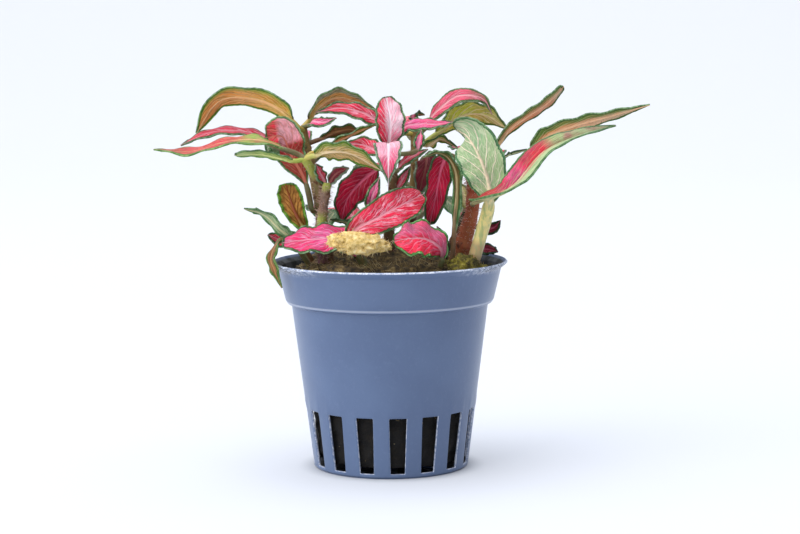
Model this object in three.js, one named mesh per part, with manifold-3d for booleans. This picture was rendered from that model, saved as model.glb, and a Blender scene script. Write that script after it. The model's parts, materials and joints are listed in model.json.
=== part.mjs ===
// Potted nerve plant: a slotted plastic net pot, a rock wool plug, rooted stems, and waved leaves that
// arch out over the rim. Millimetres, +Z up, front of the pot towards -Y.
// The origin is the centre of the ring that the pot stands on.
import * as THREE from 'three';
import { mergeVertices } from 'three/addons/utils/BufferGeometryUtils.js';
import Module from 'manifold-3d';

const wasm = await Module();
wasm.setup();

const gap = 0.5; // clearance round a stem in its hole

// ---- driving dimensions ----
const pot = {
  height: 48.5,
  lipRadius: 27.5,
  lipDrop: 0.9,
  baseRadius: 18.1,
  baseCorner: 0.5,
  shoulderRadius: 22.9, // top of the tapered body
  shoulderZ: 38.3,
  bandFootRadius: 24.3, // the band under the lip starts here
  bandFootZ: 39.4,
  bandTopRadius: 26,
  bandTopZ: 46.6,
  step: 0.4, // small rounding where the band and the lip begin
  wall: 1.1,
  floor: 1.1,
  segments: 48,
};
const slot = {
  count: 16,
  turnDegrees: 5, // one slot sits a little right of the front
  bottomZ: 1.1,
  topZ: 14.2,
  bottomWidth: 3.3,
  topWidth: 4.1,
  innerRadius: 12, // the cutter runs from here to twice as far out
};
const baseHole = { count: 8, innerRadius: 6, outerRadius: 14, width: 3, depth: 4.4 };
const plug = {
  bottomZ: 2.2,
  topZ: 46.4,
  bottomRadius: 16.2,
  topRadius: 21.2,
  lean: -0.8, // its top sits a little left in the pot
  roughness: 0.45,
  segments: 32,
  rings: 7,
  holeSides: 12,
};
const tuft = {
  length: 13.6,
  depth: 5.2,
  height: 5.4,
  centre: [-6.7, -21.9, 54.3],
  turnDegrees: 4,
  roughness: 0.22, // share of its size by which it swells and shrinks
  drawGrid: 40, // steps across it by which its corners are told apart
  sides: 12,
  rings: 8,
};
const rootDepth = 7; // how far each stem goes down into the plug
const stemSides = 8;
const stemRows = 9;
const straightShare = 0.2; // a stem keeps its foot's radius over this share of its length
const blade = {
  thickness: 0.75,
  ridge: 0.3, // the midrib stands out of the underside
  tipHalfWidth: 0.4,
  notch: 0.04, // share of the half-width by which the margin is cut in
  plainBelow: 1, // half-width under which the margin isn't rippled
};
const smallLeaf = { rows: 6, columns: 2 }; // plainer ripples on the small and half-hidden ones
const scatterSteps = [90.9, 402.7, 168.9]; // any uneven numbers: they set the draws for lumps
const scatterScale = 43758.5;

// ---- colours ----
const slateBlue = { color: 0x71839f, roughness: 0.42 };
const mossBrown = { color: 0x5b4a26, roughness: 0.95 };
const strawBeige = { color: 0xc9a765, roughness: 0.95 };
const stemBrown = { color: 0x7d6350, roughness: 0.7 };
const crimson = { color: 0xc8254f, roughness: 0.45 };
const pink = { color: 0xe58aa2, roughness: 0.4 };
const darkRed = { color: 0x8f1836, roughness: 0.5 };
const paleGreen = { color: 0x8fb183, roughness: 0.55 };
const yellowGreen = { color: 0xa9b455, roughness: 0.55 };
const rust = { color: 0x9a5a2b, roughness: 0.6 };

const plant = new THREE.Group();

function addPiece(name, geometry, look) {
  const piece = new THREE.Mesh(geometry, new THREE.MeshStandardMaterial(look));
  piece.name = name;
  plant.add(piece);
  return piece;
}

// A smooth curve through points given as [x, y, z].
function smoothCurve(points) {
  const vectors = points.map((p) => new THREE.Vector3(...p));
  return new THREE.CatmullRomCurve3(vectors, false, 'catmullrom', 0.5);
}

// ---- solids and booleans ----
function toSolid(geometry) {
  const bare = geometry.clone();
  bare.deleteAttribute('normal');
  bare.deleteAttribute('uv');
  const merged = mergeVertices(bare, 1e-4);
  const vertProperties = new Float32Array(merged.attributes.position.array);
  const triVerts = new Uint32Array(merged.index.array);
  return new wasm.Manifold(new wasm.Mesh({ numProp: 3, vertProperties, triVerts }));
}

function toGeometry(solid) {
  const mesh = solid.getMesh();
  const geometry = new THREE.BufferGeometry();
  geometry.setAttribute('position', new THREE.BufferAttribute(mesh.vertProperties, 3));
  geometry.setIndex(new THREE.BufferAttribute(mesh.triVerts, 1));
  return geometry;
}

function subtractAll(geometry, cutters) {
  let solid = toSolid(geometry);
  for (const cutter of cutters) {
    solid = solid.subtract(toSolid(cutter));
  }
  return toGeometry(solid);
}

// A steady draw from 0 to 1 for a place given in whole numbers.
function scatter(...place) {
  const seed = place.reduce((sum, step, i) => sum + step * scatterSteps[i], 0);
  const wave = Math.sin(seed) * scatterScale;
  return wave - Math.floor(wave);
}

// ---- pot ----
// The profile runs up the outside and down the inside, and closes on the axis.
function potProfile() {
  const innerShoulder = pot.shoulderRadius - pot.wall;
  const innerBase = pot.baseRadius - pot.wall;
  const points = [
    [0, 0],
    [pot.baseRadius - pot.baseCorner, 0],
    [pot.baseRadius, pot.baseCorner],
    [pot.shoulderRadius, pot.shoulderZ],
    [pot.bandFootRadius - pot.step, pot.shoulderZ + pot.step],
    [pot.bandFootRadius, pot.bandFootZ],
    [pot.bandTopRadius, pot.bandTopZ],
    [pot.lipRadius, pot.height - pot.lipDrop],
    [pot.lipRadius, pot.height],
    [pot.bandTopRadius - pot.wall + pot.step, pot.bandTopZ + pot.step],
    [pot.bandFootRadius - pot.wall, pot.bandFootZ + pot.step],
    [innerShoulder, pot.shoulderZ],
    [innerBase, pot.floor],
    [0, pot.floor],
  ];
  return points.map(([r, z]) => new THREE.Vector2(r, z));
}

// A tapered bar that points outwards along +X and cuts one slot in the wall.
function slotCutter() {
  const outline = new THREE.Shape([
    new THREE.Vector2(-slot.bottomWidth / 2, slot.bottomZ),
    new THREE.Vector2(slot.bottomWidth / 2, slot.bottomZ),
    new THREE.Vector2(slot.topWidth / 2, slot.topZ),
    new THREE.Vector2(-slot.topWidth / 2, slot.topZ),
  ]);
  const bar = new THREE.ExtrudeGeometry(outline, { depth: slot.innerRadius, bevelEnabled: false });
  return bar.rotateX(Math.PI / 2).rotateZ(Math.PI / 2).translate(slot.innerRadius, 0, 0);
}

function buildPot() {
  const shell = new THREE.LatheGeometry(potProfile(), pot.segments);
  shell.rotateX(Math.PI / 2);
  const cutters = [];
  for (let i = 0; i < slot.count; i += 1) {
    const turn = (i / slot.count) * 360 - 90 + slot.turnDegrees;
    cutters.push(slotCutter().rotateZ(THREE.MathUtils.degToRad(turn)));
  }
  for (let i = 0; i < baseHole.count; i += 1) {
    const length = baseHole.outerRadius - baseHole.innerRadius;
    const middle = (baseHole.outerRadius + baseHole.innerRadius) / 2;
    const hole = new THREE.BoxGeometry(length, baseHole.width, baseHole.depth);
    cutters.push(hole.translate(middle, 0, 0).rotateZ((i / baseHole.count) * 2 * Math.PI));
  }
  addPiece('pot', subtractAll(shell, cutters), slateBlue);
}

// ---- stems ----
// Each stem stands upright in the plug at `root`, then follows `path`. Its radii are those of its foot
// and its top, and `young` are the small leaves that grow on it.
const stems = {
  stem_left: {
    root: [-14, -3],
    path: [[-15.3, -4, 55], [-15.8, -5, 62], [-16.4, -7, 67.5], [-19, -9.5, 72.5]],
    radii: [1.5, 1],
  },
  stem_left_hairy: {
    root: [-15, -9],
    path: [[-15.5, -9, 55], [-15, -9, 61], [-14, -9, 67]],
    radii: [1.2, 1],
    young: [
      { midrib: [[-14, -9, 66], [-15.5, -9.5, 69], [-16.5, -10.5, 71.5]], width: 3.5, up: [0.3, -0.7, 0.6] },
      { midrib: [[-14, -9, 66], [-12, -10, 69], [-9, -10.5, 70.5]], width: 4, up: [-0.3, -0.7, 0.6] },
    ],
  },
  stem_back_left: {
    root: [-14, 5],
    path: [[-16, 5, 58], [-18, 5, 69], [-20, 5, 79]],
    radii: [1.2, 0.9],
    young: [
      { midrib: [[-15.8, 5, 57], [-18, 11, 60], [-18, 17, 58.5]], width: 4.5, up: [0, 0, 1] },
      { midrib: [[-18.4, 5, 70.5], [-14, 11, 74], [-10, 16, 74]], width: 5, up: [0, 0, 1] },
    ],
  },
  stem_centre: {
    root: [0, 2],
    path: [[0, 1, 55], [1, -3, 66], [0, -6.5, 74]],
    radii: [1.4, 1],
    young: [
      { midrib: [[1, -2, 64], [3, -5, 67], [5, -6, 70.5]], width: 3.2, up: [-0.3, -0.9, 0.3] },
    ],
  },
  stem_back: {
    root: [5, 11],
    path: [[5, 10, 56], [6, 9, 67], [6, 9, 78]],
    radii: [1.4, 0.9],
    young: [
      { midrib: [[5.8, 9.2, 65], [9, 14, 69], [12, 18, 69]], width: 5, up: [0, 0, 1] },
      { midrib: [[5, 10, 57], [0, 14, 61.5], [-3, 18, 61]], width: 5, up: [0, 0, 1] },
    ],
  },
  stem_right_hairy: {
    root: [15.5, -7],
    path: [[17, -7, 53], [19, -7, 60], [19, -6, 66], [17, -5, 71]],
    radii: [2.2, 0.8],
  },
  stem_back_right: {
    root: [14, 4],
    path: [[17, 4, 56], [21, 4, 64], [24, 4, 71]],
    radii: [1.4, 0.9],
    young: [
      { midrib: [[16.4, 4, 54.5], [18, 11, 58], [19, 17, 56]], width: 4.5, up: [0, 0, 1] },
      { midrib: [[23.2, 4, 69], [18, 10, 73], [14, 14, 74]], width: 5, up: [0, 0, 1] },
    ],
  },
};

function stemCurve({ root, path }) {
  const [x, y] = root;
  return smoothCurve([[x, y, plug.topZ - rootDepth], [x, y, plug.topZ], ...path]);
}

// A capped cylinder is bent along the curve; its radius eases from the foot to the top.
function bentTube(curve, radii) {
  const tube = new THREE.CylinderGeometry(1, 1, 1, stemSides, stemRows);
  const position = tube.attributes.position;
  const across = new THREE.Vector3();
  const aside = new THREE.Vector3();
  for (let i = 0; i < position.count; i += 1) {
    const t = position.getY(i) + 0.5;
    const tangent = curve.getTangent(t);
    across.set(1, 0, 0).addScaledVector(tangent, -tangent.x).normalize();
    aside.crossVectors(tangent, across);
    const ease = THREE.MathUtils.smoothstep(t, straightShare, 1);
    const radius = THREE.MathUtils.lerp(radii[0], radii[1], ease);
    const point = curve.getPoint(t)
      .addScaledVector(across, -radius * position.getX(i))
      .addScaledVector(aside, radius * position.getZ(i));
    position.setXYZ(i, point.x, point.y, point.z);
  }
  return tube;
}

// Young leaves are fused to their stem, with their feet sunk in it.
function buildStems() {
  for (const [name, stem] of Object.entries(stems)) {
    let solid = toSolid(bentTube(stemCurve(stem), stem.radii));
    for (const leaf of stem.young ?? []) {
      solid = solid.add(toSolid(leafGeometry({ ...leaf, ...smallLeaf })));
    }
    addPiece(name, toGeometry(solid), stemBrown);
  }
}

// ---- plug and tuft of rock wool ----
function buildPlug() {
  const height = plug.topZ - plug.bottomZ;
  const lump = new THREE.CylinderGeometry(1, 1, 1, plug.segments, plug.rings);
  const position = lump.attributes.position;
  for (let i = 0; i < position.count; i += 1) {
    const t = position.getY(i) + 0.5;
    const angle = Math.atan2(position.getZ(i), position.getX(i));
    const onAxis = Math.hypot(position.getX(i), position.getZ(i)) < 0.5;
    const spot = Math.round((angle / (2 * Math.PI)) * plug.segments + plug.segments) % plug.segments;
    const bump = (scatter(spot, Math.round(t * plug.rings)) - 0.5) * 2 * plug.roughness;
    const radius = onAxis ? 0 : THREE.MathUtils.lerp(plug.bottomRadius, plug.topRadius, t) + bump;
    const lift = t === 1 ? bump : 0; // the top is lumpy as well
    const x = radius * Math.cos(angle) + plug.lean * t;
    position.setXYZ(i, x, -radius * Math.sin(angle), plug.bottomZ + t * height + lift);
  }
  const holes = Object.values(stems).map(({ root, radii }) => {
    const holeRadius = radii[0] + gap;
    const hole = new THREE.CylinderGeometry(holeRadius, holeRadius, 2 * (rootDepth + gap), plug.holeSides);
    return hole.rotateX(Math.PI / 2).translate(root[0], root[1], plug.topZ);
  });
  addPiece('rock_wool_plug', subtractAll(lump, holes), mossBrown);
}

// Each point of a ball is moved in or out by the draw for its place, so that its seam stays closed.
function buildTuft() {
  const lump = new THREE.SphereGeometry(0.5, tuft.sides, tuft.rings).rotateX(Math.PI / 2);
  const position = lump.attributes.position;
  const point = new THREE.Vector3();
  for (let i = 0; i < position.count; i += 1) {
    point.fromBufferAttribute(position, i);
    const place = point.clone().multiplyScalar(tuft.drawGrid).round();
    const draw = scatter(place.x, place.y, place.z);
    point.multiplyScalar(1 + (draw - 0.5) * tuft.roughness);
    position.setXYZ(i, point.x * tuft.length, point.y * tuft.depth, point.z * tuft.height);
  }
  lump.rotateY(THREE.MathUtils.degToRad(tuft.turnDegrees)).translate(...tuft.centre);
  addPiece('rock_wool_tuft', lump, strawBeige);
}

// ---- leaves ----
// midrib: points from the stalk's foot to the tip. width: across the blade. up: the way the red upper face
// looks, and upTip the same at the tip. fold: degrees that each half rises from the midrib. curl: how far
// the margins roll back, as a share of the half-width. wave: height of the ripples. stalk: share of the
// length that is bare stalk. heel: how round the blade starts, small for blunt. taper: how far the tip is
// drawn out.
const leaves = {
  leaf_left_arch: {
    midrib: [[-20.5, 3, 78.5], [-24.5, 4.5, 83], [-31.5, 5, 86], [-39.5, 5, 85.5], [-45, 4, 78]],
    width: 9,
    up: [0, 0.6, 0.8],
    look: rust,
  },
  leaf_left_red: {
    midrib: [[-19.9, 3.3, 74.5], [-29, 3.5, 77], [-35.5, 3.5, 78.5], [-42, 2, 78], [-48, -1.5, 75.5]],
    width: 6,
    up: [0, -0.3, 0.95],
    wave: 0.2,
    look: crimson,
  },
  leaf_left_long: {
    midrib: [
      [-20, -8.9, 73.3], [-28, -11.4, 76.7], [-35.9, -10, 76.7],
      [-45, -8.5, 74.4], [-53.5, -8.5, 75],
    ],
    width: 7.5,
    up: [0, -0.25, 0.95],
    wave: 0.25,
    look: darkRed,
  },
  leaf_left_pale: {
    midrib: [[-20.4, -9.8, 72.1], [-24.4, -10.8, 72.9], [-29.2, -11, 73.9], [-34.9, -11, 73.8]],
    width: 4.6,
    up: [0, 0.4, 0.9],
    taper: 0.3,
    heel: 0.4,
    wave: 0.15,
    look: yellowGreen,
  },
  leaf_left_peach: {
    midrib: [[-17.6, -10.3, 73.1], [-13.8, -11.7, 74.3], [-8.4, -11, 73.8], [-1.4, -10.5, 69.9]],
    width: 7.5,
    up: [0, 0.65, 0.75],
    stalk: 0.1,
    heel: 0.55,
    wave: 0.25,
    look: yellowGreen,
  },
  leaf_left_tall: {
    midrib: [
      [-17.5, -6.6, 60], [-19.2, -6.2, 67.2], [-22.3, -5.6, 73.2],
      [-24.3, -5.8, 77.4], [-28, -7.5, 77.4],
    ],
    width: 10,
    up: [-0.1, -1, 0.3],
    heel: 0.9,
    stalk: 0.2,
    taper: 0.45,
    look: crimson,
  },
  leaf_left_brown: {
    midrib: [[-17.5, -8.5, 53.5], [-21, -9, 59.5], [-22.5, -9, 63.5], [-23.5, -9, 67]],
    width: 6.4,
    up: [0, 1, 0.2],
    heel: 0.5,
    taper: 0.35,
    wave: 0.2,
    look: rust,
  },
  leaf_left_low: {
    midrib: [[-18.5, -5.5, 47.4], [-22, -7, 53.8], [-25, -8, 56.5], [-28.5, -9, 60], [-33, -10, 61.5]],
    width: 4.5,
    up: [0.3, 0.6, 0.7],
    look: paleGreen,
  },
  leaf_left_crimson: {
    midrib: [[-18, 3.5, 47.1], [-22, 3.5, 52.6], [-25.3, 3, 52.8], [-28.4, 2, 54.2]],
    width: 4.5,
    up: [-0.2, -0.8, 0.5],
    taper: 0.6,
    ...smallLeaf,
    look: crimson,
  },
  leaf_left_hanging: {
    midrib: [
      [-17.5, -0.5, 47.4], [-21, -2, 52.3], [-25.3, -5, 53.2],
      [-27, -9.5, 50], [-26, -12, 47], [-24.5, -13.5, 43.5],
    ],
    width: 3.6,
    up: [-0.7, -0.6, 0.3],
    look: rust,
  },
  leaf_front_left: {
    midrib: [[-6, -8, 47.1], [-9.5, -12.5, 54], [-17, -13, 54.5], [-24.5, -11, 53.5]],
    width: 8.5,
    up: [0, -0.8, 0.6],
    taper: 0.5,
    look: pink,
  },
  leaf_centre_big: {
    midrib: [
      [-4, -13.5, 47.1], [-8.5, -17.5, 55.5], [-2.5, -16.5, 59.5],
      [3.5, -14, 62.5], [8, -11, 64.5],
    ],
    width: 9.5,
    up: [0.2, -0.85, 0.45],
    stalk: 0.22,
    heel: 0.6,
    taper: 0.5,
    look: crimson,
  },
  leaf_centre_dark: {
    midrib: [[-0.8, -3.2, 70.9], [-5.5, -3, 67.5], [-9.5, -4, 63], [-11, -5, 57.5]],
    width: 8,
    up: [-0.2, -0.95, 0.2],
    look: darkRed,
  },
  leaf_centre_curled: {
    midrib: [[-1, -0.9, 56.6], [-6.5, -6.5, 57], [-10, -7.5, 58], [-13.5, -7, 58.5]],
    width: 3,
    up: [0, 0.6, 0.8],
    ...smallLeaf,
    look: paleGreen,
  },
  leaf_centre_small: {
    midrib: [[-0.1, -3, 60.9], [-3.2, -9, 61.5], [-4, -11.5, 63], [-3, -12.5, 66], [-2, -13, 68.5]],
    width: 3.5,
    up: [0, -1, 0.2],
    ...smallLeaf,
    look: pink,
  },
  leaf_top_upright: {
    midrib: [[0, -6.7, 74.6], [0.5, -9, 81], [-0.5, -7, 86.5]],
    width: 7.6,
    up: [0, -1, 0.2],
    taper: 0.45,
    stalk: 0.06,
    heel: 0.4,
    look: pink,
  },
  leaf_top_drooping: {
    midrib: [[0, -7.7, 74], [0, -12, 76], [0, -15, 73.5], [0, -16.5, 70.5], [0, -16.5, 67]],
    width: 7.2,
    up: [0, -0.8, 0.6],
    stalk: 0.1,
    heel: 0.3,
    taper: 1,
    look: pink,
  },
  leaf_back_arch: {
    midrib: [[-19.6, 6.4, 79.4], [-17, 9, 83.5], [-12.5, 11, 86], [-7.5, 11, 85], [-3, 10, 83]],
    width: 9,
    up: [0, 0.5, 0.85],
    heel: 0.45,
    stalk: 0.07,
    look: rust,
  },
  leaf_back_red: {
    midrib: [[4.7, 8, 77], [-2.5, 5, 80.5], [-6.5, 5, 82.5], [-11.5, 5, 83.5], [-17, 5, 82.5]],
    width: 5,
    up: [0, -0.8, 0.6],
    look: crimson,
  },
  leaf_back_pink: {
    midrib: [[-18.8, 4.2, 79.4], [-17.5, 1, 80.5], [-15, -1, 80.5], [-12, -1, 81.5]],
    width: 3.4,
    up: [0, -0.8, 0.6],
    ...smallLeaf,
    look: pink,
  },
  leaf_back_dark: {
    midrib: [[-18, 5.5, 75.5], [-13.5, 7, 77.5], [-9.5, 7, 78.5], [-6, 7, 78]],
    width: 4,
    up: [0, 0.7, 0.7],
    ...smallLeaf,
    look: rust,
  },
  leaf_back_edge: {
    midrib: [[-18.2, -8.1, 73.4], [-12.5, -6, 76], [-7, -5, 78.5], [-2, -3.5, 80.5]],
    width: 3,
    up: [0, 0.5, 0.8],
    ...smallLeaf,
    look: paleGreen,
  },
  leaf_back_bright: {
    midrib: [[-0.8, -4.8, 72.9], [-3.5, 0, 74], [-6, 1.5, 75], [-10, 2, 75.5]],
    width: 5.5,
    up: [0, -0.9, 0.4],
    rows: 6,
    look: crimson,
  },
  leaf_back_small: {
    midrib: [[6, 9.9, 78.6], [6, 13, 81.5], [8.5, 15, 81.5]],
    width: 2.8,
    up: [0, 0.6, 0.8],
    ...smallLeaf,
    look: rust,
  },
  leaf_top_flat: {
    midrib: [[1, -5.9, 74.7], [3.5, -4.5, 79], [7, -5, 80], [11, -5, 80], [15, -5, 80.5]],
    width: 5.5,
    up: [0, -0.5, 0.85],
    look: pink,
  },
  leaf_upper_right: {
    midrib: [
      [7.8, 8.2, 77.4], [9.9, 5, 81], [12.6, 3, 83.7], [15.8, 2, 86],
      [19.3, 1, 86.3], [22.3, 1, 85.2], [24, 0, 82],
    ],
    width: 5.4,
    up: [-0.3, -0.7, 0.6],
    heel: 0.45,
    taper: 1,
    stalk: 0.14,
    wave: 0.25,
    look: crimson,
  },
  leaf_right_yellow: {
    midrib: [[7.8, 9.4, 74.5], [14.4, 10, 79.6], [18.4, 10, 81.7], [23.1, 10, 81.4], [28, 9, 78.3]],
    width: 9,
    up: [0, 0.7, 0.7],
    look: yellowGreen,
  },
  leaf_right_big: {
    midrib: [
      [18.5, -11.5, 46.6], [21, -12, 55.5], [22.5, -14, 61.5], [22.5, -15.5, 67],
      [20.5, -16, 73], [17.8, -14.2, 77.8], [15.4, -10.5, 79.1],
    ],
    width: 12,
    up: [0, 1, 0.1],
    stalk: 0.36,
    stalkWidth: 3.4,
    upTip: [0, 0.8, 0.6],
    heel: 0.6,
    rows: 10,
    taper: 0.55,
    look: paleGreen,
  },
  leaf_right_long: {
    midrib: [
      [19.1, -8.6, 61.8], [19.5, -17.3, 63.4], [24.3, -20.6, 64.9], [28.4, -20.8, 67.4],
      [34.7, -17, 74], [43, -11.5, 77.4], [52, -6, 79.5],
    ],
    width: 8.6,
    up: [0, -0.3, 0.95],
    fold: 36,
    rows: 10,
    wave: 0.2,
    taper: 0.7,
    look: paleGreen,
  },
  leaf_right_far: {
    midrib: [
      [25.4, 3.6, 70.2], [28.1, 3, 66.2], [31.1, 3, 68.5], [34.1, 2.5, 74.2],
      [37.8, 2, 77.2], [44.3, 1.5, 79.5], [52.3, 1, 81.6], [60.5, 0, 84],
    ],
    width: 6.4,
    up: [0, 0.7, 0.7],
    heel: 0.35,
    rows: 10,
    stalk: 0.41,
    wave: 0.2,
    look: rust,
  },
  leaf_right_narrow: {
    midrib: [[23.6, 4.2, 71.6], [27.4, 4, 77.6], [32.5, 4, 81.4], [37.1, 3.5, 84.5], [40.7, 3, 88.3]],
    width: 4.8,
    up: [-0.4, 0.6, 0.7],
    taper: 0.3,
    heel: 0.35,
    wave: 0.1,
    look: yellowGreen,
  },
  leaf_right_arch: {
    midrib: [
      [14.2, -11.6, 47], [15.3, -11.2, 60], [15.6, -10.7, 68],
      [14, -10.7, 72.3], [11.2, -11.3, 73.9], [7.8, -12.3, 73],
    ],
    width: 4.3,
    up: [0.6, 0.5, 0.6],
    columns: 2,
    look: paleGreen,
  },
  leaf_right_hanging: {
    midrib: [[16.2, -4.2, 71.8], [13.7, -5.6, 72.8], [12.1, -7, 70.1], [11, -7.5, 64.8], [9.3, -8, 57.1]],
    width: 6.4,
    up: [-0.1, -1, 0.2],
    stalk: 0.25,
    heel: 0.4,
    taper: 0.4,
    look: crimson,
  },
  leaf_right_dusky: {
    midrib: [[6.9, 7.6, 69.5], [8.5, 4, 72], [8.8, 1.5, 71], [8, 0.5, 67.5], [6.5, 0, 62]],
    width: 6,
    up: [-0.3, -0.9, 0.2],
    stalk: 0.25,
    rows: 6,
    look: darkRed,
  },
  leaf_front_right: {
    midrib: [
      [11.5, -13.5, 47.2], [11.8, -16.5, 52], [8.6, -18.6, 54.7],
      [4.7, -20.2, 55.2], [0.8, -19.6, 54.5],
    ],
    width: 10,
    up: [0, -0.85, 0.5],
    heel: 0.9,
    taper: 0.7,
    look: crimson,
  },
  leaf_front_sliver: {
    midrib: [[12.5, -9, 46.9], [12.5, -10, 53], [11, -11, 57]],
    width: 3,
    up: [0.3, -0.9, 0.2],
    ...smallLeaf,
    look: darkRed,
  },
  leaf_right_bit: {
    midrib: [[18.8, 4, 56.1], [22, 4, 55], [24.5, 3.7, 55.3], [26, 3, 57]],
    width: 3.5,
    up: [0, -0.9, 0.4],
    ...smallLeaf,
    look: darkRed,
  },
  leaf_right_low: {
    midrib: [[16.5, 5, 50], [22.5, 6, 50], [25.5, 5, 49.5]],
    width: 4,
    up: [0, -0.7, 0.7],
    ...smallLeaf,
    look: darkRed,
  },
  leaf_centre_red: {
    midrib: [[1.6, -6.3, 69.2], [4, -8, 72], [9, -8, 74.5]],
    width: 3.5,
    up: [0.1, -0.6, 0.8],
    ...smallLeaf,
    look: crimson,
  },
  leaf_centre_strip: {
    midrib: [[1.2, -7.3, 73.2], [6, -10.5, 74], [7, -11, 76.5], [7.5, -9.5, 79]],
    width: 2.8,
    up: [0, -1, 0.1],
    stalk: 0.4,
    ...smallLeaf,
    look: pink,
  },
  leaf_centre_cream: {
    midrib: [[7.5, 8.2, 75.8], [9, 0, 74.8], [12, -1, 76.5], [16, -1, 74.5]],
    width: 3.4,
    up: [0, 0.5, 0.8],
    ...smallLeaf,
    look: darkRed,
  },
  leaf_right_veined: {
    midrib: [[17.5, 2.5, 60.5], [17.5, 2, 63], [16.5, 2, 66]],
    width: 4,
    up: [0, 1, 0.2],
    ...smallLeaf,
    look: yellowGreen,
  },
  leaf_right_inner: {
    midrib: [[17, -4.2, 52.5], [18, -2, 57], [18.5, -2, 61]],
    width: 4,
    up: [0, -1, 0.1],
    ...smallLeaf,
    look: darkRed,
  },
  leaf_right_tip: {
    midrib: [[24.9, 4.9, 71.1], [28.5, 8.2, 72.3], [32.5, 7.5, 73.5]],
    width: 2.2,
    up: [0, 0.4, 0.9],
    ...smallLeaf,
    look: paleGreen,
  },
  leaf_rear_top: {
    midrib: [[5.3, 10.4, 76], [3, 19, 80], [1, 27, 79], [0, 34, 73]],
    width: 10,
    up: [0, 0, 1],
    look: crimson,
  },
  leaf_rear_left: {
    midrib: [[-18.5, 6.8, 74], [-22, 14, 77], [-26, 21, 76.5], [-30, 28, 72]],
    width: 9.5,
    up: [0, 0, 1],
    look: pink,
  },
  leaf_rear_right: {
    midrib: [[23.9, 5.8, 69.6], [24.2, 13, 72.5], [22.5, 21, 71], [21, 29, 66]],
    width: 9,
    up: [0, 0, 1],
    look: crimson,
  },
  leaf_rear_left_low: {
    midrib: [[-6, 11, 47.4], [-9, 17, 57], [-13, 24, 58], [-17, 31, 52]],
    width: 9,
    up: [0, 0, 1],
    look: crimson,
  },
  leaf_rear_right_low: {
    midrib: [[6.1, 11.5, 56], [11, 18, 61], [15, 25, 59.5], [19, 32, 53]],
    width: 9,
    up: [0, 0, 1],
    look: pink,
  },
  leaf_rear_mid: {
    midrib: [[4.5, 10, 65], [-3, 19, 69], [-6, 26, 68], [-7, 32, 63]],
    width: 7.5,
    up: [0, 0, 1],
    look: crimson,
  },
};

const usualLeaf = {
  fold: 18,
  curl: 0.25,
  wave: 0.35,
  stalk: 0.12,
  stalkWidth: 1.3,
  heel: 0.55,
  taper: 0.8,
  rows: 8,
  columns: 4,
};

// Half-width along the blade as a share of its greatest; s runs from the stalk to the tip.
function bladeOutline(s, heel, taper) {
  const peak = heel / (heel + taper);
  const shape = (x) => x ** heel * (1 - x) ** taper;
  return shape(s) / shape(peak);
}

// The middle surface of a leaf: u runs along the midrib and v from -1 to 1 across the blade. Every other row
// of the margin is drawn in and rippled down, and the rows between are rippled up.
function leafSurface(leaf) {
  const curve = smoothCurve(leaf.midrib);
  const upFoot = new THREE.Vector3(...leaf.up);
  const upTip = new THREE.Vector3(...(leaf.upTip ?? leaf.up));
  const rise = Math.sin(THREE.MathUtils.degToRad(leaf.fold));
  const spread = Math.cos(THREE.MathUtils.degToRad(leaf.fold));
  return (u, v) => {
    const t = THREE.MathUtils.clamp(u, 0, 1);
    const s = THREE.MathUtils.clamp((t - leaf.stalk) / (1 - leaf.stalk), 0, 1);
    const tangent = curve.getTangent(t);
    const normal = upFoot.clone().lerp(upTip, t);
    normal.addScaledVector(tangent, -normal.dot(tangent)).normalize();
    const side = new THREE.Vector3().crossVectors(tangent, normal);
    const ripple = s > 0 && s < 1 ? Math.cos(Math.PI * leaf.rows * s) : 0;
    const outline = (leaf.width / 2) * bladeOutline(s, leaf.heel, leaf.taper);
    const least = s < 0.5 ? leaf.stalkWidth / 2 : blade.tipHalfWidth;
    const half = Math.max(outline * (1 - blade.notch * (1 - ripple)), least);
    const wave = half > blade.plainBelow ? leaf.wave * ripple : 0;
    const lift = half * (rise * Math.abs(v) - leaf.curl * v * v) + wave * v * Math.abs(v);
    return curve.getPoint(t).addScaledVector(side, half * spread * v).addScaledVector(normal, lift);
  };
}

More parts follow.
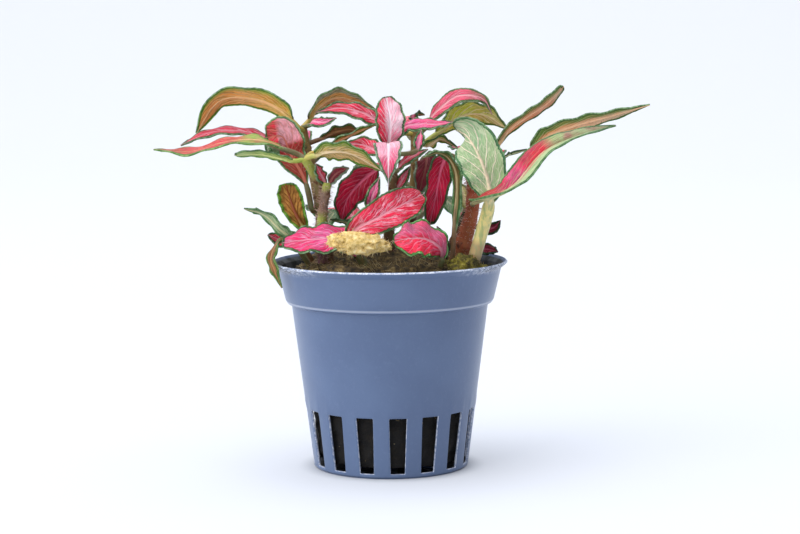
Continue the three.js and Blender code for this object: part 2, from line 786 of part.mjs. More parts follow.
// The blade's two faces share their rows and their triangles, so that it keeps its thickness.
function leafGeometry(shape) {
  const leaf = { ...usualLeaf, ...shape };
  const { stalk, rows, columns } = leaf;
  const surface = leafSurface(leaf);
  const steps = [0];
  for (let i = 0; i <= rows; i += 1) {
    steps.push(stalk + ((1 - stalk) * i) / rows);
  }

  const positions = [];
  const near = 1e-3;
  for (const face of [1, -1]) {
    for (const u of steps) {
      for (let j = 0; j <= columns; j += 1) {
        const v = (2 * j) / columns - 1;
        const along = surface(u + near, v).sub(surface(u - near, v));
        const across = surface(u, v + near).sub(surface(u, v - near));
        const outwards = across.cross(along).normalize();
        const ridge = face < 0 ? blade.ridge * (1 - Math.abs(v)) : 0;
        const point = surface(u, v).addScaledVector(outwards, face * (blade.thickness / 2 + ridge));
        positions.push(point.x, point.y, point.z);
      }
    }
  }

  const rowLength = columns + 1;
  const layer = steps.length * rowLength;
  const index = [];
  const quad = (a, b, c, d) => index.push(a, b, c, a, c, d);
  for (let i = 0; i < steps.length - 1; i += 1) {
    for (let j = 0; j < columns; j += 1) {
      const a = i * rowLength + j;
      const b = a + 1;
      const c = b + rowLength;
      const d = a + rowLength;
      // the quads split along diagonals that lean away from the midrib
      if (j < columns / 2) {
        quad(b, c, d, a);
        quad(d + layer, c + layer, b + layer, a + layer);
      } else {
        quad(a, b, c, d);
        quad(c + layer, b + layer, a + layer, d + layer);
      }
    }
    const left = i * rowLength;
    const right = left + columns;
    quad(left + rowLength, left + rowLength + layer, left + layer, left);
    quad(right, right + layer, right + rowLength + layer, right + rowLength);
  }
  const last = (steps.length - 1) * rowLength;
  for (let j = 0; j < columns; j += 1) {
    quad(j, j + layer, j + 1 + layer, j + 1);
    quad(last + j + 1, last + j + 1 + layer, last + j + layer, last + j);
  }
  const geometry = new THREE.BufferGeometry();
  geometry.setAttribute('position', new THREE.Float32BufferAttribute(positions, 3));
  geometry.setIndex(index);
  return geometry;
}

function buildLeaves() {
  for (const [name, leaf] of Object.entries(leaves)) {
    addPiece(name, leafGeometry(leaf), leaf.look);
  }
}

buildPot();
buildStems();
buildPlug();
buildTuft();
buildLeaves();

export default plant;
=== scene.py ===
import json
import math
import random
import re

import bmesh
import bpy
from mathutils import Matrix, Vector, noise


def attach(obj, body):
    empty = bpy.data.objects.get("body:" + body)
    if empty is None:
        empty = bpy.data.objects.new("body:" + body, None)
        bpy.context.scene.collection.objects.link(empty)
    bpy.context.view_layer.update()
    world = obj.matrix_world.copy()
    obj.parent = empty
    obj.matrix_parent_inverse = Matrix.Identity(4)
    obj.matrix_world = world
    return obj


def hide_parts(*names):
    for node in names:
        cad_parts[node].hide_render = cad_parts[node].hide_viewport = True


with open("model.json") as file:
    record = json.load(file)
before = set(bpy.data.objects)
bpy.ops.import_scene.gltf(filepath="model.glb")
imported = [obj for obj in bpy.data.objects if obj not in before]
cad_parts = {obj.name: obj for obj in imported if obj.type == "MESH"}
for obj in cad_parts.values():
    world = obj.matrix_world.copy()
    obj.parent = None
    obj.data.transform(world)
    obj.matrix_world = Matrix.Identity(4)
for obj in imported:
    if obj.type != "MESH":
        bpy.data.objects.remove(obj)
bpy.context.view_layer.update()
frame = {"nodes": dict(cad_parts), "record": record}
scene = bpy.context.scene
mm = 0.001  # the tables below are in millimetres, the scene is in metres
print("frame loaded:", len(frame["nodes"]), "nodes")


# ---- small helpers for nodes, materials and pieces ----


def rgb(hexText):
    channels = [int(hexText[i:i + 2], 16) / 255 for i in (0, 2, 4)]
    return tuple(c / 12.92 if c <= 0.04045 else ((c + 0.055) / 1.055) ** 2.4 for c in channels) + (1,)


def fill(tree, node, inputs):
    # a socket is linked in and any other value is set; a text is a colour
    for key, value in inputs.items():
        if isinstance(value, bpy.types.NodeSocket):
            tree.links.new(value, node.inputs[key])
        elif value is not None:
            node.inputs[key].default_value = rgb(value) if isinstance(value, str) else value


def addNode(tree, kind, inputs=None, **settings):
    made = tree.nodes.new("ShaderNode" + kind)
    for name, value in settings.items():
        setattr(made, name, value)
    fill(tree, made, inputs or {})
    return made


def calc(tree, operation, a, b=None):
    return addNode(tree, "Math", {0: a, 1: b}, operation=operation).outputs[0]


def times(tree, first, *others):
    for other in others:
        first = calc(tree, "MULTIPLY", first, other)
    return first


def distance(tree, value, middle):
    return calc(tree, "ABSOLUTE", calc(tree, "SUBTRACT", value, middle))


def remap(tree, value, low, high, toLow=0, toHigh=1):
    inputs = {"Value": value, "From Min": low, "From Max": high, "To Min": toLow, "To Max": toHigh}
    return addNode(tree, "MapRange", inputs, interpolation_type="SMOOTHSTEP").outputs["Result"]


def mix(tree, amount, a, b):
    return addNode(tree, "Mix", {0: amount, 6: a, 7: b}, data_type="RGBA").outputs[2]


def ramp(tree, value, stops):
    made = addNode(tree, "ValToRGB", {0: value})
    elements = made.color_ramp.elements
    while len(elements) < len(stops):
        elements.new(0.5)
    for element, (position, colour) in zip(elements, stops):
        element.position = position
        element.color = rgb(colour)
    return made.outputs[0]


def combine(tree, x, y, z):
    return addNode(tree, "CombineXYZ", {0: x, 1: y, 2: z}).outputs[0]


def split(tree, vector):
    return addNode(tree, "SeparateXYZ", {0: vector}).outputs


def stretch(tree, vector, z):
    return addNode(tree, "Mapping", {"Vector": vector, "Scale": (1, 1, z)}).outputs[0]


def noiseAt(tree, vector, scale, detail=3, roughness=0.55):
    inputs = {"Vector": vector, "Scale": scale, "Detail": detail, "Roughness": roughness}
    return addNode(tree, "TexNoise", inputs).outputs[0]


def objectPlace(tree):
    return addNode(tree, "TexCoord").outputs["Object"]


def newMaterial(name, **values):
    material = bpy.data.materials.new(name)
    material.use_nodes = True
    tree = material.node_tree
    shader = tree.nodes["Principled BSDF"]
    fill(tree, shader, values)
    return material, tree, shader


def setSurface(tree, shader, colour, rough, height=None, strength=1, depth=0.1):
    # depth of the bump in millimetres
    fill(tree, shader, {"Base Color": colour, "Roughness": rough})
    if height is not None:
        bump = addNode(tree, "Bump", {"Height": height, "Strength": strength, "Distance": depth * mm})
        fill(tree, shader, {"Normal": bump.outputs[0]})


def paint(made, material):
    for face in {f for v in made["verts"] for f in v.link_faces}:
        face.material_index = material


def addObject(name, data):
    made = bpy.data.objects.new(name, data)
    scene.collection.objects.link(made)
    return made


def addModifier(piece, name, kind, **settings):
    made = piece.modifiers.new(name, kind)
    for key, value in settings.items():
        setattr(made, key, value)


def finishPiece(name, bm, materials, slotName, nodes, smoothAngle=50, isClosed=True):
    if isClosed:
        bmesh.ops.recalc_face_normals(bm, faces=bm.faces)
    mesh = bpy.data.meshes.new(name)
    bm.to_mesh(mesh)
    bm.free()
    for material in materials:
        mesh.materials.append(material)
    piece = addObject(name, mesh)
    mesh.shade_smooth()
    if smoothAngle < 180:
        mesh.set_sharp_from_angle(angle=math.radians(smoothAngle))
    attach(piece, "root")
    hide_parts(*nodes)
    return piece


# ---- curves ----


def curvePoint(points, t):
    # a Catmull-Rom curve with a tension of a half; its ends run on in the line of their last two points
    last = len(points) - 1
    place = min(max(t, 0), 1) * last
    i = min(int(place), last - 1)
    w = place - i
    b, c = points[i], points[i + 1]
    a = points[i - 1] if i > 0 else b * 2 - c
    d = points[i + 2] if i + 2 <= last else c * 2 - b
    t0, t1 = (c - a) * 0.5, (d - b) * 0.5
    return b + t0 * w + ((c - b) * 3 - t0 * 2 - t1) * w ** 2 + ((b - c) * 2 + t0 + t1) * w ** 3


def curveTangent(points, t):
    step = 1e-4
    return (curvePoint(points, min(t + step, 1)) - curvePoint(points, max(t - step, 0))).normalized()


def curveLength(points, steps=40):
    spots = [curvePoint(points, i / steps) for i in range(steps + 1)]
    return sum((b - a).length for a, b in zip(spots, spots[1:]))


def smoothStep(value, low, high):
    x = min(max((value - low) / (high - low), 0), 1)
    return x * x * (3 - 2 * x)


def rollGrid(bm, columns, rows, spotAt, material=0):
    # a flat grid is rolled up, and its seam and its poles are merged; spots in millimetres
    made = bmesh.ops.create_grid(bm, x_segments=columns, y_segments=rows, size=1)
    for vert in made["verts"]:
        turn = (vert.co.x + 1) * math.pi
        row = round((vert.co.y + 1) / 2 * rows)
        vert.co = spotAt(row, turn) * mm
    paint(made, material)
    bmesh.ops.remove_doubles(bm, verts=made["verts"], dist=1e-7)
    return [v for v in made["verts"] if v.is_valid]


def addTube(bm, points, radiusAt, sides, rows, material=0):
    rings = []
    across = None
    for row in range(rows + 1):
        tangent = curveTangent(points, row / rows)
        guide = across or (Vector((1, 0, 0)) if abs(tangent.x) < 0.9 else Vector((0, 1, 0)))
        across = (guide - tangent * guide.dot(tangent)).normalized()
        rings.append((curvePoint(points, row / rows), across, tangent.cross(across)))

    def spotAt(row, turn):
        ring = min(max(row - 1, 0), rows)
        centre, across, aside = rings[ring]
        radius = radiusAt(ring / rows, turn) if 0 < row < rows + 2 else 0
        return centre + (across * math.cos(turn) + aside * math.sin(turn)) * radius

    return rollGrid(bm, sides, rows + 2, spotAt, material)


# ---- leaves ----

# share: place along the blade from 0 to 1, and across it from -1 to 1; place: the same in millimetres
def buildLeafPattern():
    tree = bpy.data.node_groups.new("leafPattern", "ShaderNodeTree")
    for label in ("Share", "Place", "Pairs", "Sweep", "Margin", "Wander", "Thin"):
        kind = "Vector" if label in ("Share", "Place") else "Float"
        tree.interface.new_socket(label, in_out="INPUT", socket_type="NodeSocket" + kind)
    given = tree.nodes.new("NodeGroupInput").outputs
    along, across, seed = split(tree, given["Share"])
    place = split(tree, given["Place"])
    fromRib = calc(tree, "ABSOLUTE", across)
    seedPlace = addNode(tree, "VectorMath", {0: given["Place"], 1: combine(tree, seed, seed, seed)},
                        operation="ADD").outputs[0]
    wander = calc(tree, "SUBTRACT", noiseAt(tree, seedPlace, 0.35, 2), 0.5)

    # side veins leave the rib and sweep towards the tip
    phase = calc(tree, "SUBTRACT", times(tree, along, given["Pairs"]),
                 times(tree, calc(tree, "POWER", fromRib, 0.85), given["Sweep"]))
    halfTurn = times(tree, calc(tree, "GREATER_THAN", across, 0), 0.4)
    phase = calc(tree, "ADD", calc(tree, "ADD", phase, halfTurn), times(tree, wander, given["Wander"]))
    width = times(tree, remap(tree, fromRib, 0, 1, 0.17, 0.07), given["Thin"])
    offVein = calc(tree, "DIVIDE", calc(tree, "PINGPONG", phase, 0.5), width)
    sideVein = times(tree, remap(tree, offVein, 0.35, 1, 1, 0), remap(tree, fromRib, 0.6, 1, 1, 0.25))
    ribWidth = remap(tree, along, 0, 1, 0.5, 0.12)
    rib = remap(tree, calc(tree, "DIVIDE", calc(tree, "ABSOLUTE", place[1]), ribWidth), 0.45, 1.1, 1, 0)
    veins = calc(tree, "MAXIMUM", sideVein, rib)

    def alongVeins(phaseScale, acrossScale):
        return combine(tree, times(tree, phase, phaseScale), times(tree, place[1], acrossScale), seed)

    # the fine net between them
    cells = addNode(tree, "TexVoronoi", {"Vector": alongVeins(2.6, 1.1), "Scale": 1, "Randomness": 0.8},
                    feature="DISTANCE_TO_EDGE").outputs[0]
    net = remap(tree, cells, 0.03, 0.16, 1, 0)

    # the margin, with a thin rim at its edge
    toEdge = times(tree, place[2], calc(tree, "SUBTRACT", 1, fromRib))
    toTip = times(tree, calc(tree, "SUBTRACT", 1, along), 16)
    rough = times(tree, calc(tree, "SUBTRACT", noiseAt(tree, seedPlace, 1.6), 0.5), 0.9, given["Margin"])
    edge = calc(tree, "ADD", calc(tree, "MINIMUM", toEdge, toTip), rough)
    edge = calc(tree, "DIVIDE", edge, given["Margin"])
    margin = remap(tree, edge, 0.9, 1.25, 1, 0)
    rim = times(tree, remap(tree, edge, 0.4, 0.7, 1, 0),
                remap(tree, noiseAt(tree, seedPlace, 0.9, 2), 0.4, 0.6, 0.2, 1))

    # green flecks, and streaks and lines that follow the veins
    flecks = remap(tree, noiseAt(tree, seedPlace, 0.8, 4, 0.7), 0.66, 0.7)
    streaks = times(tree, remap(tree, noiseAt(tree, alongVeins(4.2, 0.7), 1, 4, 0.7), 0.51, 0.58),
                    remap(tree, fromRib, 0.15, 0.9, 1, 0.3),
                    remap(tree, noiseAt(tree, seedPlace, 0.28, 2), 0.36, 0.56, 0.15, 1))
    offLine = distance(tree, noiseAt(tree, alongVeins(2.4, 0.5), 1, 2, 0.6), 0.5)
    lines = remap(tree, offLine, 0.016, 0.052, 1, 0)
    height = calc(tree, "ADD", times(tree, veins, 0.7), times(tree, net, 0.3))
    marks = dict(Veins=veins, Rib=rib, Net=net, Margin=margin, Rim=rim, Flecks=flecks, Streaks=streaks,
                 Lines=lines, Height=height)
    out = tree.nodes.new("NodeGroupOutput")
    for label, value in marks.items():
        tree.interface.new_socket(label, in_out="OUTPUT", socket_type="NodeSocketFloat")
        tree.links.new(value, out.inputs[label])
    return tree


# What each face of a leaf looks like. along: the ground colour from the stalk to the tip. patch: what it
# varies to. vein, streak and fleck: colours with their strengths. side: the colour of one half, where along
# the leaf it starts and between which places across the leaf it fades in. keep: how plain that half is.
usualLook = dict(net=0.1, pairs=8, sweep=3.2, edge=0.55, wander=1.3, thin=1, lines=0.3, keep=0.8)
leafLooks = dict(
    crimson=dict(along=[(0, "cc0c3c"), (0.5, "ec0a42"), (1, "e00434")], patch="c40632",
        vein=("f8b4c4", 0.4), net=0.05, rib="e898a4", streak=("fcb4c8", 1), fleck=("3f5a2a", 0.9),
        margin="35562f", rim="8aa67c", stalk="6f5238"),
    pink=dict(along=[(0, "dc1054"), (1, "ea1464")], patch="f04a94", vein=("f8b8d4", 0.35), net=0.06,
        rib="f09cb0", streak=("fcacd0", 0.9), fleck=("4f6434", 0.8), margin="35562f", rim="8fae80",
        stalk="6f5a38", pairs=7),
    deep=dict(along=[(0, "96002a"), (0.45, "b4002e"), (0.7, "cc0c3c"), (1, "b40430")], patch="86001e",
        vein=("e07890", 0.35), net=0, rib="cc5874", streak=("dc4468", 0.4), fleck=("3a0a12", 0.4),
        margin="2a4426", rim="5f7c56", stalk="5f3a2a", sweep=3.4),
    dark=dict(along=[(0, "74081e"), (0.5, "860a28"), (1, "960c32")], patch="4c0a18",
        vein=("b85a70", 0.35), net=0.05, rib="a85068", streak=("a02444", 0.5), fleck=("2a1a14", 0.5),
        margin="263d24", rim="4c6444", stalk="523a28", pairs=7),
    # dusky: a darkened, dulled crimson, partly painted shade for a leaf that sits in shadow behind others
    dusky=dict(along=[(0, "681624"), (1, "8c1a32")], patch="441018", vein=("a05e60", 0.35), rib="94564f",
        streak=("96384a", 0.5), fleck=("3d2a24", 0.6), margin="5f705a", rim="98a28e", stalk="5a3e2a",
        pairs=7, sweep=3),
    # the whitish pink in the middle of this blade is painted sheen, where the upright leaf is lit from
    # above; its crimson half is the leaf's own colour
    blush=dict(along=[(0, "dc1048"), (0.22, "ee90a8"), (0.55, "f8dce2"), (0.8, "f4b0c0"), (1, "e02450")],
        patch="ee7c98", vein=("fcecf0", 0.5), rib="fae0e6", streak=("fce8ec", 0.8), fleck=("8a3a44", 0.7),
        margin="3c5c36", rim="8fae80", stalk="b07c6a", pairs=7, sweep=3.4, side=("e00a3c", -1, -0.1, -0.45),
        keep=0.6),
    drooping=dict(along=[(0, "e8386a"), (0.2, "f4b8c8"), (0.42, "f4a8bc"), (0.58, "e43a6c"),
        (0.85, "e0184c"), (1, "b04858")], patch="e84a78", vein=("fad8e0", 0.4), net=0.08, rib="f8dce2",
        streak=("f8bccb", 0.7), fleck=("5a6648", 0.8), margin="4c6a48", rim="a3b89c", stalk="eec9cc",
        pairs=7, edge=0.6),
    longRed=dict(along=[(0, "7ca03c"), (0.3, "84a448"), (0.4, "d03450"), (0.8, "d02444"), (1, "c98c80")],
        patch="b0283c", vein=("dcb07c", 0.4), rib="dcaa80", streak=("e08a80", 0.6), fleck=("4c6c28", 0.8),
        margin="447030", rim="93b06c", stalk="9cb068", sweep=3.6),
    longGreen=dict(along=[(0, "a00428"), (0.2, "d00c38"), (0.38, "e0185c"), (0.46, "f05a98"),
        (0.54, "d80c3c"), (0.64, "d40c34"), (0.7, "9cb074"), (1, "a4b88c")], patch="98284a",
        vein=("e3c9a4", 0.2), net=0.05, rib="c8c898", streak=("e8c0b8", 0.25), fleck=("4c6c3c", 0.6),
        margin="37602f", rim="7ca06c", stalk="7c7440", pairs=9, sweep=3.8,
        side=("a8bc88", 0.27, 0.12, 0.35), keep=1),
    tallRed=dict(along=[(0, "a8382c"), (0.3, "b23c34"), (0.5, "c02838"), (0.56, "eca0ac"),
        (0.76, "f0b0ba"), (0.82, "d42038"), (1, "dc3048")], patch="8c3428", vein=("e08878", 0.45), net=0.12,
        rib="de7f68", streak=("d87868", 0.6), fleck=("3f5018", 1), margin="44683a", rim="93b080",
        stalk="8a6040", pairs=7, sweep=3),
    pinkBrown=dict(along=[(0, "dc3860"), (0.3, "e01850"), (0.55, "d8385c"), (0.66, "a05a44"),
        (1, "7c4a34")], patch="e05074", vein=("f2b8c0", 0.45), rib="e4a0a4", streak=("f29cac", 0.8),
        fleck=("4c5830", 0.7), margin="3f5c34", rim="8aa074", stalk="a06a52"),
    brown=dict(along=[(0, "7c4e2a"), (0.5, "96623a"), (1, "7c5830")], patch="643c20",
        vein=("c08c5c", 0.4), net=0.15, rib="bc8658", streak=("b07a4c", 0.5), fleck=("445420", 0.6),
        margin="466a2c", rim="86a060", stalk="6f4e30", pairs=7, sweep=3),
    split=dict(along=[(0, "c81440"), (1, "fc0c40")], patch="e00c38", vein=("ec9cb0", 0.4), net=0.06,
        rib="d88c98", streak=("e87898", 0.7), fleck=("3f4c28", 0.7), margin="2f6a28", rim="96c882",
        stalk="6f4438", sweep=2.6, side=("d06088", -1, 0, 0.35), keep=0.3),
    arch=dict(along=[(0, "584622"), (0.5, "66522c"), (0.66, "6c7a44"), (1, "93a874")], patch="463a1c",
        vein=("a8945c", 0.4), net=0.15, rib="b4a070", streak=("8c7840", 0.6), fleck=("345224", 0.7),
        margin="3c6434", rim="86a474", stalk="6b4a2a", pairs=10, sweep=3.6, edge=0.8),
    pale=dict(along=[(0, "869a58"), (0.2, "8fac74"), (1, "a4bc8c")], patch="749664",
        vein=("dcdcb0", 0.6), net=0.2, rib="d8d29c", streak=("c0cc9c", 0.5), fleck=("4c7840", 0.6),
        margin="447440", rim="86ac74", stalk="66552f", sweep=2.8),
    lime=dict(along=[(0, "96b03c"), (0.5, "a4c060"), (1, "b4d090")], patch="7ca03c",
        vein=("e0e4a0", 0.55), net=0.2, rib="dce08c", streak=("c8d480", 0.5), fleck=("4c7c28", 0.7),
        margin="4c7c30", rim="96bc6c", stalk="a4ac48", sweep=2.8),
    veined=dict(along=[(0, "c8bc78"), (0.08, "b4c084"), (0.2, "a4bc84"), (1, "98b488")], patch="7ca078",
        vein=("f2e6c8", 0.9), net=0.3, rib="f0d8b8", streak=("a4bc98", 0.25), fleck=("3f6f48", 0.6),
        margin="3c6a44", rim="7ca06c", stalk="e0cc80", stalkFoot="9c7452", stripe="6f9050", pairs=6,
        sweep=2.4, wander=0.4, thin=0.7, lines=0.12),
    peach=dict(along=[(0, "a8b040"), (0.2, "dcc468"), (0.5, "fccc88"), (1, "fcbc7c")], patch="d8b464",
        vein=("ffeabc", 0.7), rib="fce0b4", streak=("ffdc9c", 0.75), fleck=("4c5c18", 0.9), margin="4c7a2c",
        rim="90b050", stalk="a4a44c", pairs=9, sweep=3.8, lines=0.7, side=("94b444", -1, 0.25, 0.65)),
    rust=dict(along=[(0, "d4cc48"), (0.2, "f0c458"), (0.5, "ffbc6c"), (1, "f89050")], patch="f0a450",
        vein=("ffe09c", 0.6), net=0, rib="fccc90", streak=("ffd080", 0.8), fleck=("5c3c08", 0.8),
        margin="4c7c28", rim="84ac44", stalk="94943c", sweep=4.2, edge=0.6, lines=0.75,
        side=("7ca034", -1, 0.3, 0.8)),
    orange=dict(along=[(0, "e08c4c"), (0.3, "fcac68"), (0.6, "ffc498"), (0.8, "dcc49c"), (1, "acb898")],
        patch="ec9c60", vein=("fcdcb8", 0.5), net=0, rib="fcc898", streak=("fcbc90", 0.8),
        fleck=("4c4818", 0.7), margin="3c5c28", rim="6c8c48", stalk="8f8048", pairs=9, sweep=4.2, edge=0.5,
        lines=0.55, side=("648c34", -1, 0.15, 0.45)),
    yellow=dict(along=[(0, "e8e44c"), (0.4, "dce83c"), (0.65, "ece47c"), (1, "f8f4bc")], patch="b4c42c",
        vein=("fffcc0", 0.95), net=0.25, rib="fcecb4", streak=("e4e464", 0.5), fleck=("5f7a1c", 0.6),
        margin="447428", rim="90ac64", stalk="98984a", pairs=6, sweep=2.4, wander=0.6, thin=0.9),
)
leafLooks["rustLeft"] = dict(leafLooks["rust"], side=("a8c048", -1, -0.35, -0.8), lines=0.5)
leafLooks["rustBrown"] = dict(
    leafLooks["rust"], along=[(0, "a08030"), (0.5, "b07838"), (1, "8c6428")], patch="745020",
    vein=("6c2c14", 0.7), streak=("c88c48", 0.6), side=("6c7c2c", -1, 0.5, 1), rib="8c4420", pairs=6,
    sweep=3, lines=0.5)
# rustPale: its plain pale grey-green half is partly painted sheen, standing in for the gloss on the raised
# half of the leaf
leafLooks["rustPale"] = dict(leafLooks["rust"], side=("b4c4a0", -1, 0.3, 0.45), keep=1)
leafLooks = {name: {**usualLook, **look} for name, look in leafLooks.items()}
leafPattern = buildLeafPattern()


def leafMaterial(lookName, isTop):
    name = "leaf" + lookName[0].upper() + lookName[1:] + ("Top" if isTop else "Under")
    if name in bpy.data.materials:
        return bpy.data.materials[name]
    look = leafLooks[lookName]
    material, tree, shader = newMaterial(name, **{"Specular IOR Level": 0.15})
    share = addNode(tree, "Attribute", attribute_name="leafShare").outputs["Vector"]
    place = addNode(tree, "Attribute", attribute_name="leafPlace").outputs["Vector"]
    marks = addNode(tree, "Group", {
        "Share": share, "Place": place, "Pairs": look["pairs"], "Sweep": look["sweep"],
        "Margin": look["edge"], "Wander": look["wander"], "Thin": look["thin"],
    }, node_tree=leafPattern).outputs
    along, across, seed = split(tree, share)
    patches = remap(tree, noiseAt(tree, objectPlace(tree), 260), 0.38, 0.66)
    colour = ramp(tree, along, look["along"])
    plain = 1
    if "side" in look:
        halfColour, start, low, high = look["side"]
        amount = times(tree, remap(tree, across, low, high), remap(tree, along, start, start + 0.08))
        colour = mix(tree, amount, colour, halfColour)
        plain = calc(tree, "SUBTRACT", 1, times(tree, amount, look["keep"]))
    # the pale streaks follow the veins and on the upper faces also stand in for the gloss: partly leaf
    # pattern, partly painted highlight
    layers = (
        (times(tree, patches, 0.7, plain), look["patch"]),
        (times(tree, marks["Streaks"], look["streak"][1], plain), look["streak"][0]),
        (times(tree, marks["Lines"], look["lines"]), look["fleck"][0]),
        (times(tree, marks["Net"], look["net"]), look["vein"][0]),
        (times(tree, marks["Veins"], look["vein"][1]), look["vein"][0]),
        (times(tree, marks["Flecks"], look["fleck"][1]), look["fleck"][0]),
        (marks["Margin"], look["margin"]),
        (times(tree, marks["Rim"], 0.75), look["rim"]),
        (times(tree, marks["Rib"], 0.8), look["rib"]),
        (remap(tree, along, -0.02, 0.05, 1, 0), look["stalk"]),
    )
    for amount, layer in layers:
        colour = mix(tree, amount, colour, layer)
    low, high = (0.34, 0.46) if isTop else (0.5, 0.58)
    rough = remap(tree, marks["Height"], 0, 1, low, high)
    # the veins are sunk into the upper face and stand out of the lower one
    height = calc(tree, "SUBTRACT", 1, marks["Height"]) if isTop else marks["Height"]
    setSurface(tree, shader, colour, rough, height, 0.8, 0.35)
    return material


def ribMaterial(lookName):
    name = "leaf" + lookName[0].upper() + lookName[1:] + "Rib"
    if name in bpy.data.materials:
        return bpy.data.materials[name]
    look = leafLooks[lookName]
    material, tree, shader = newMaterial(name)
    along = split(tree, addNode(tree, "Attribute", attribute_name="leafShare").outputs["Vector"])[0]
    place = objectPlace(tree)
    stalk = mix(tree, remap(tree, along, -0.5, -0.25), look.get("stalkFoot", look["stalk"]), look["stalk"])
    stripes = remap(tree, noiseAt(tree, stretch(tree, place, 0.12), 1100), 0.48, 0.62, 0, 0.55)
    stalk = mix(tree, stripes, stalk, look.get("stripe", look["stalk"]))
    colour = mix(tree, remap(tree, along, -0.05, 0.25), stalk, look["rib"])
    mottle = remap(tree, noiseAt(tree, place, 900, 4), 0.35, 0.7)
    colour = mix(tree, times(tree, mottle, 0.35), colour, look["patch"])
    setSurface(tree, shader, colour, remap(tree, mottle, 0, 1, 0.4, 0.6), mottle, 0.3, 0.1)
    return material


usualLeaf = dict(top="crimson", under="pale", up=(0, 0, 1), upTip=None, fold=18, curl=0.25, wave=0.35,
                 stalk=0.12, stalkWidth=1.3, heel=0.55, taper=0.8, rows=8)
leafBuild = dict(
    rows=84,  # along
    columns=18,  # across
    youngRows=40, youngColumns=12, ribSides=8, ribRows=30,
    thickness=0.32,
    teeth=2.5,  # small notches to each wave of the margin
    toothDepth=0.035,
    notch=0.04,  # share of the half-width by which the waves cut the margin in
    plainBelow=1,  # half-width under which the margin isn't rippled
    tipHalfWidth=0.16,
    quilt=0.1,  # height of the swellings between the veins
    crumple=0.35,  # slow unevenness of the blade
)

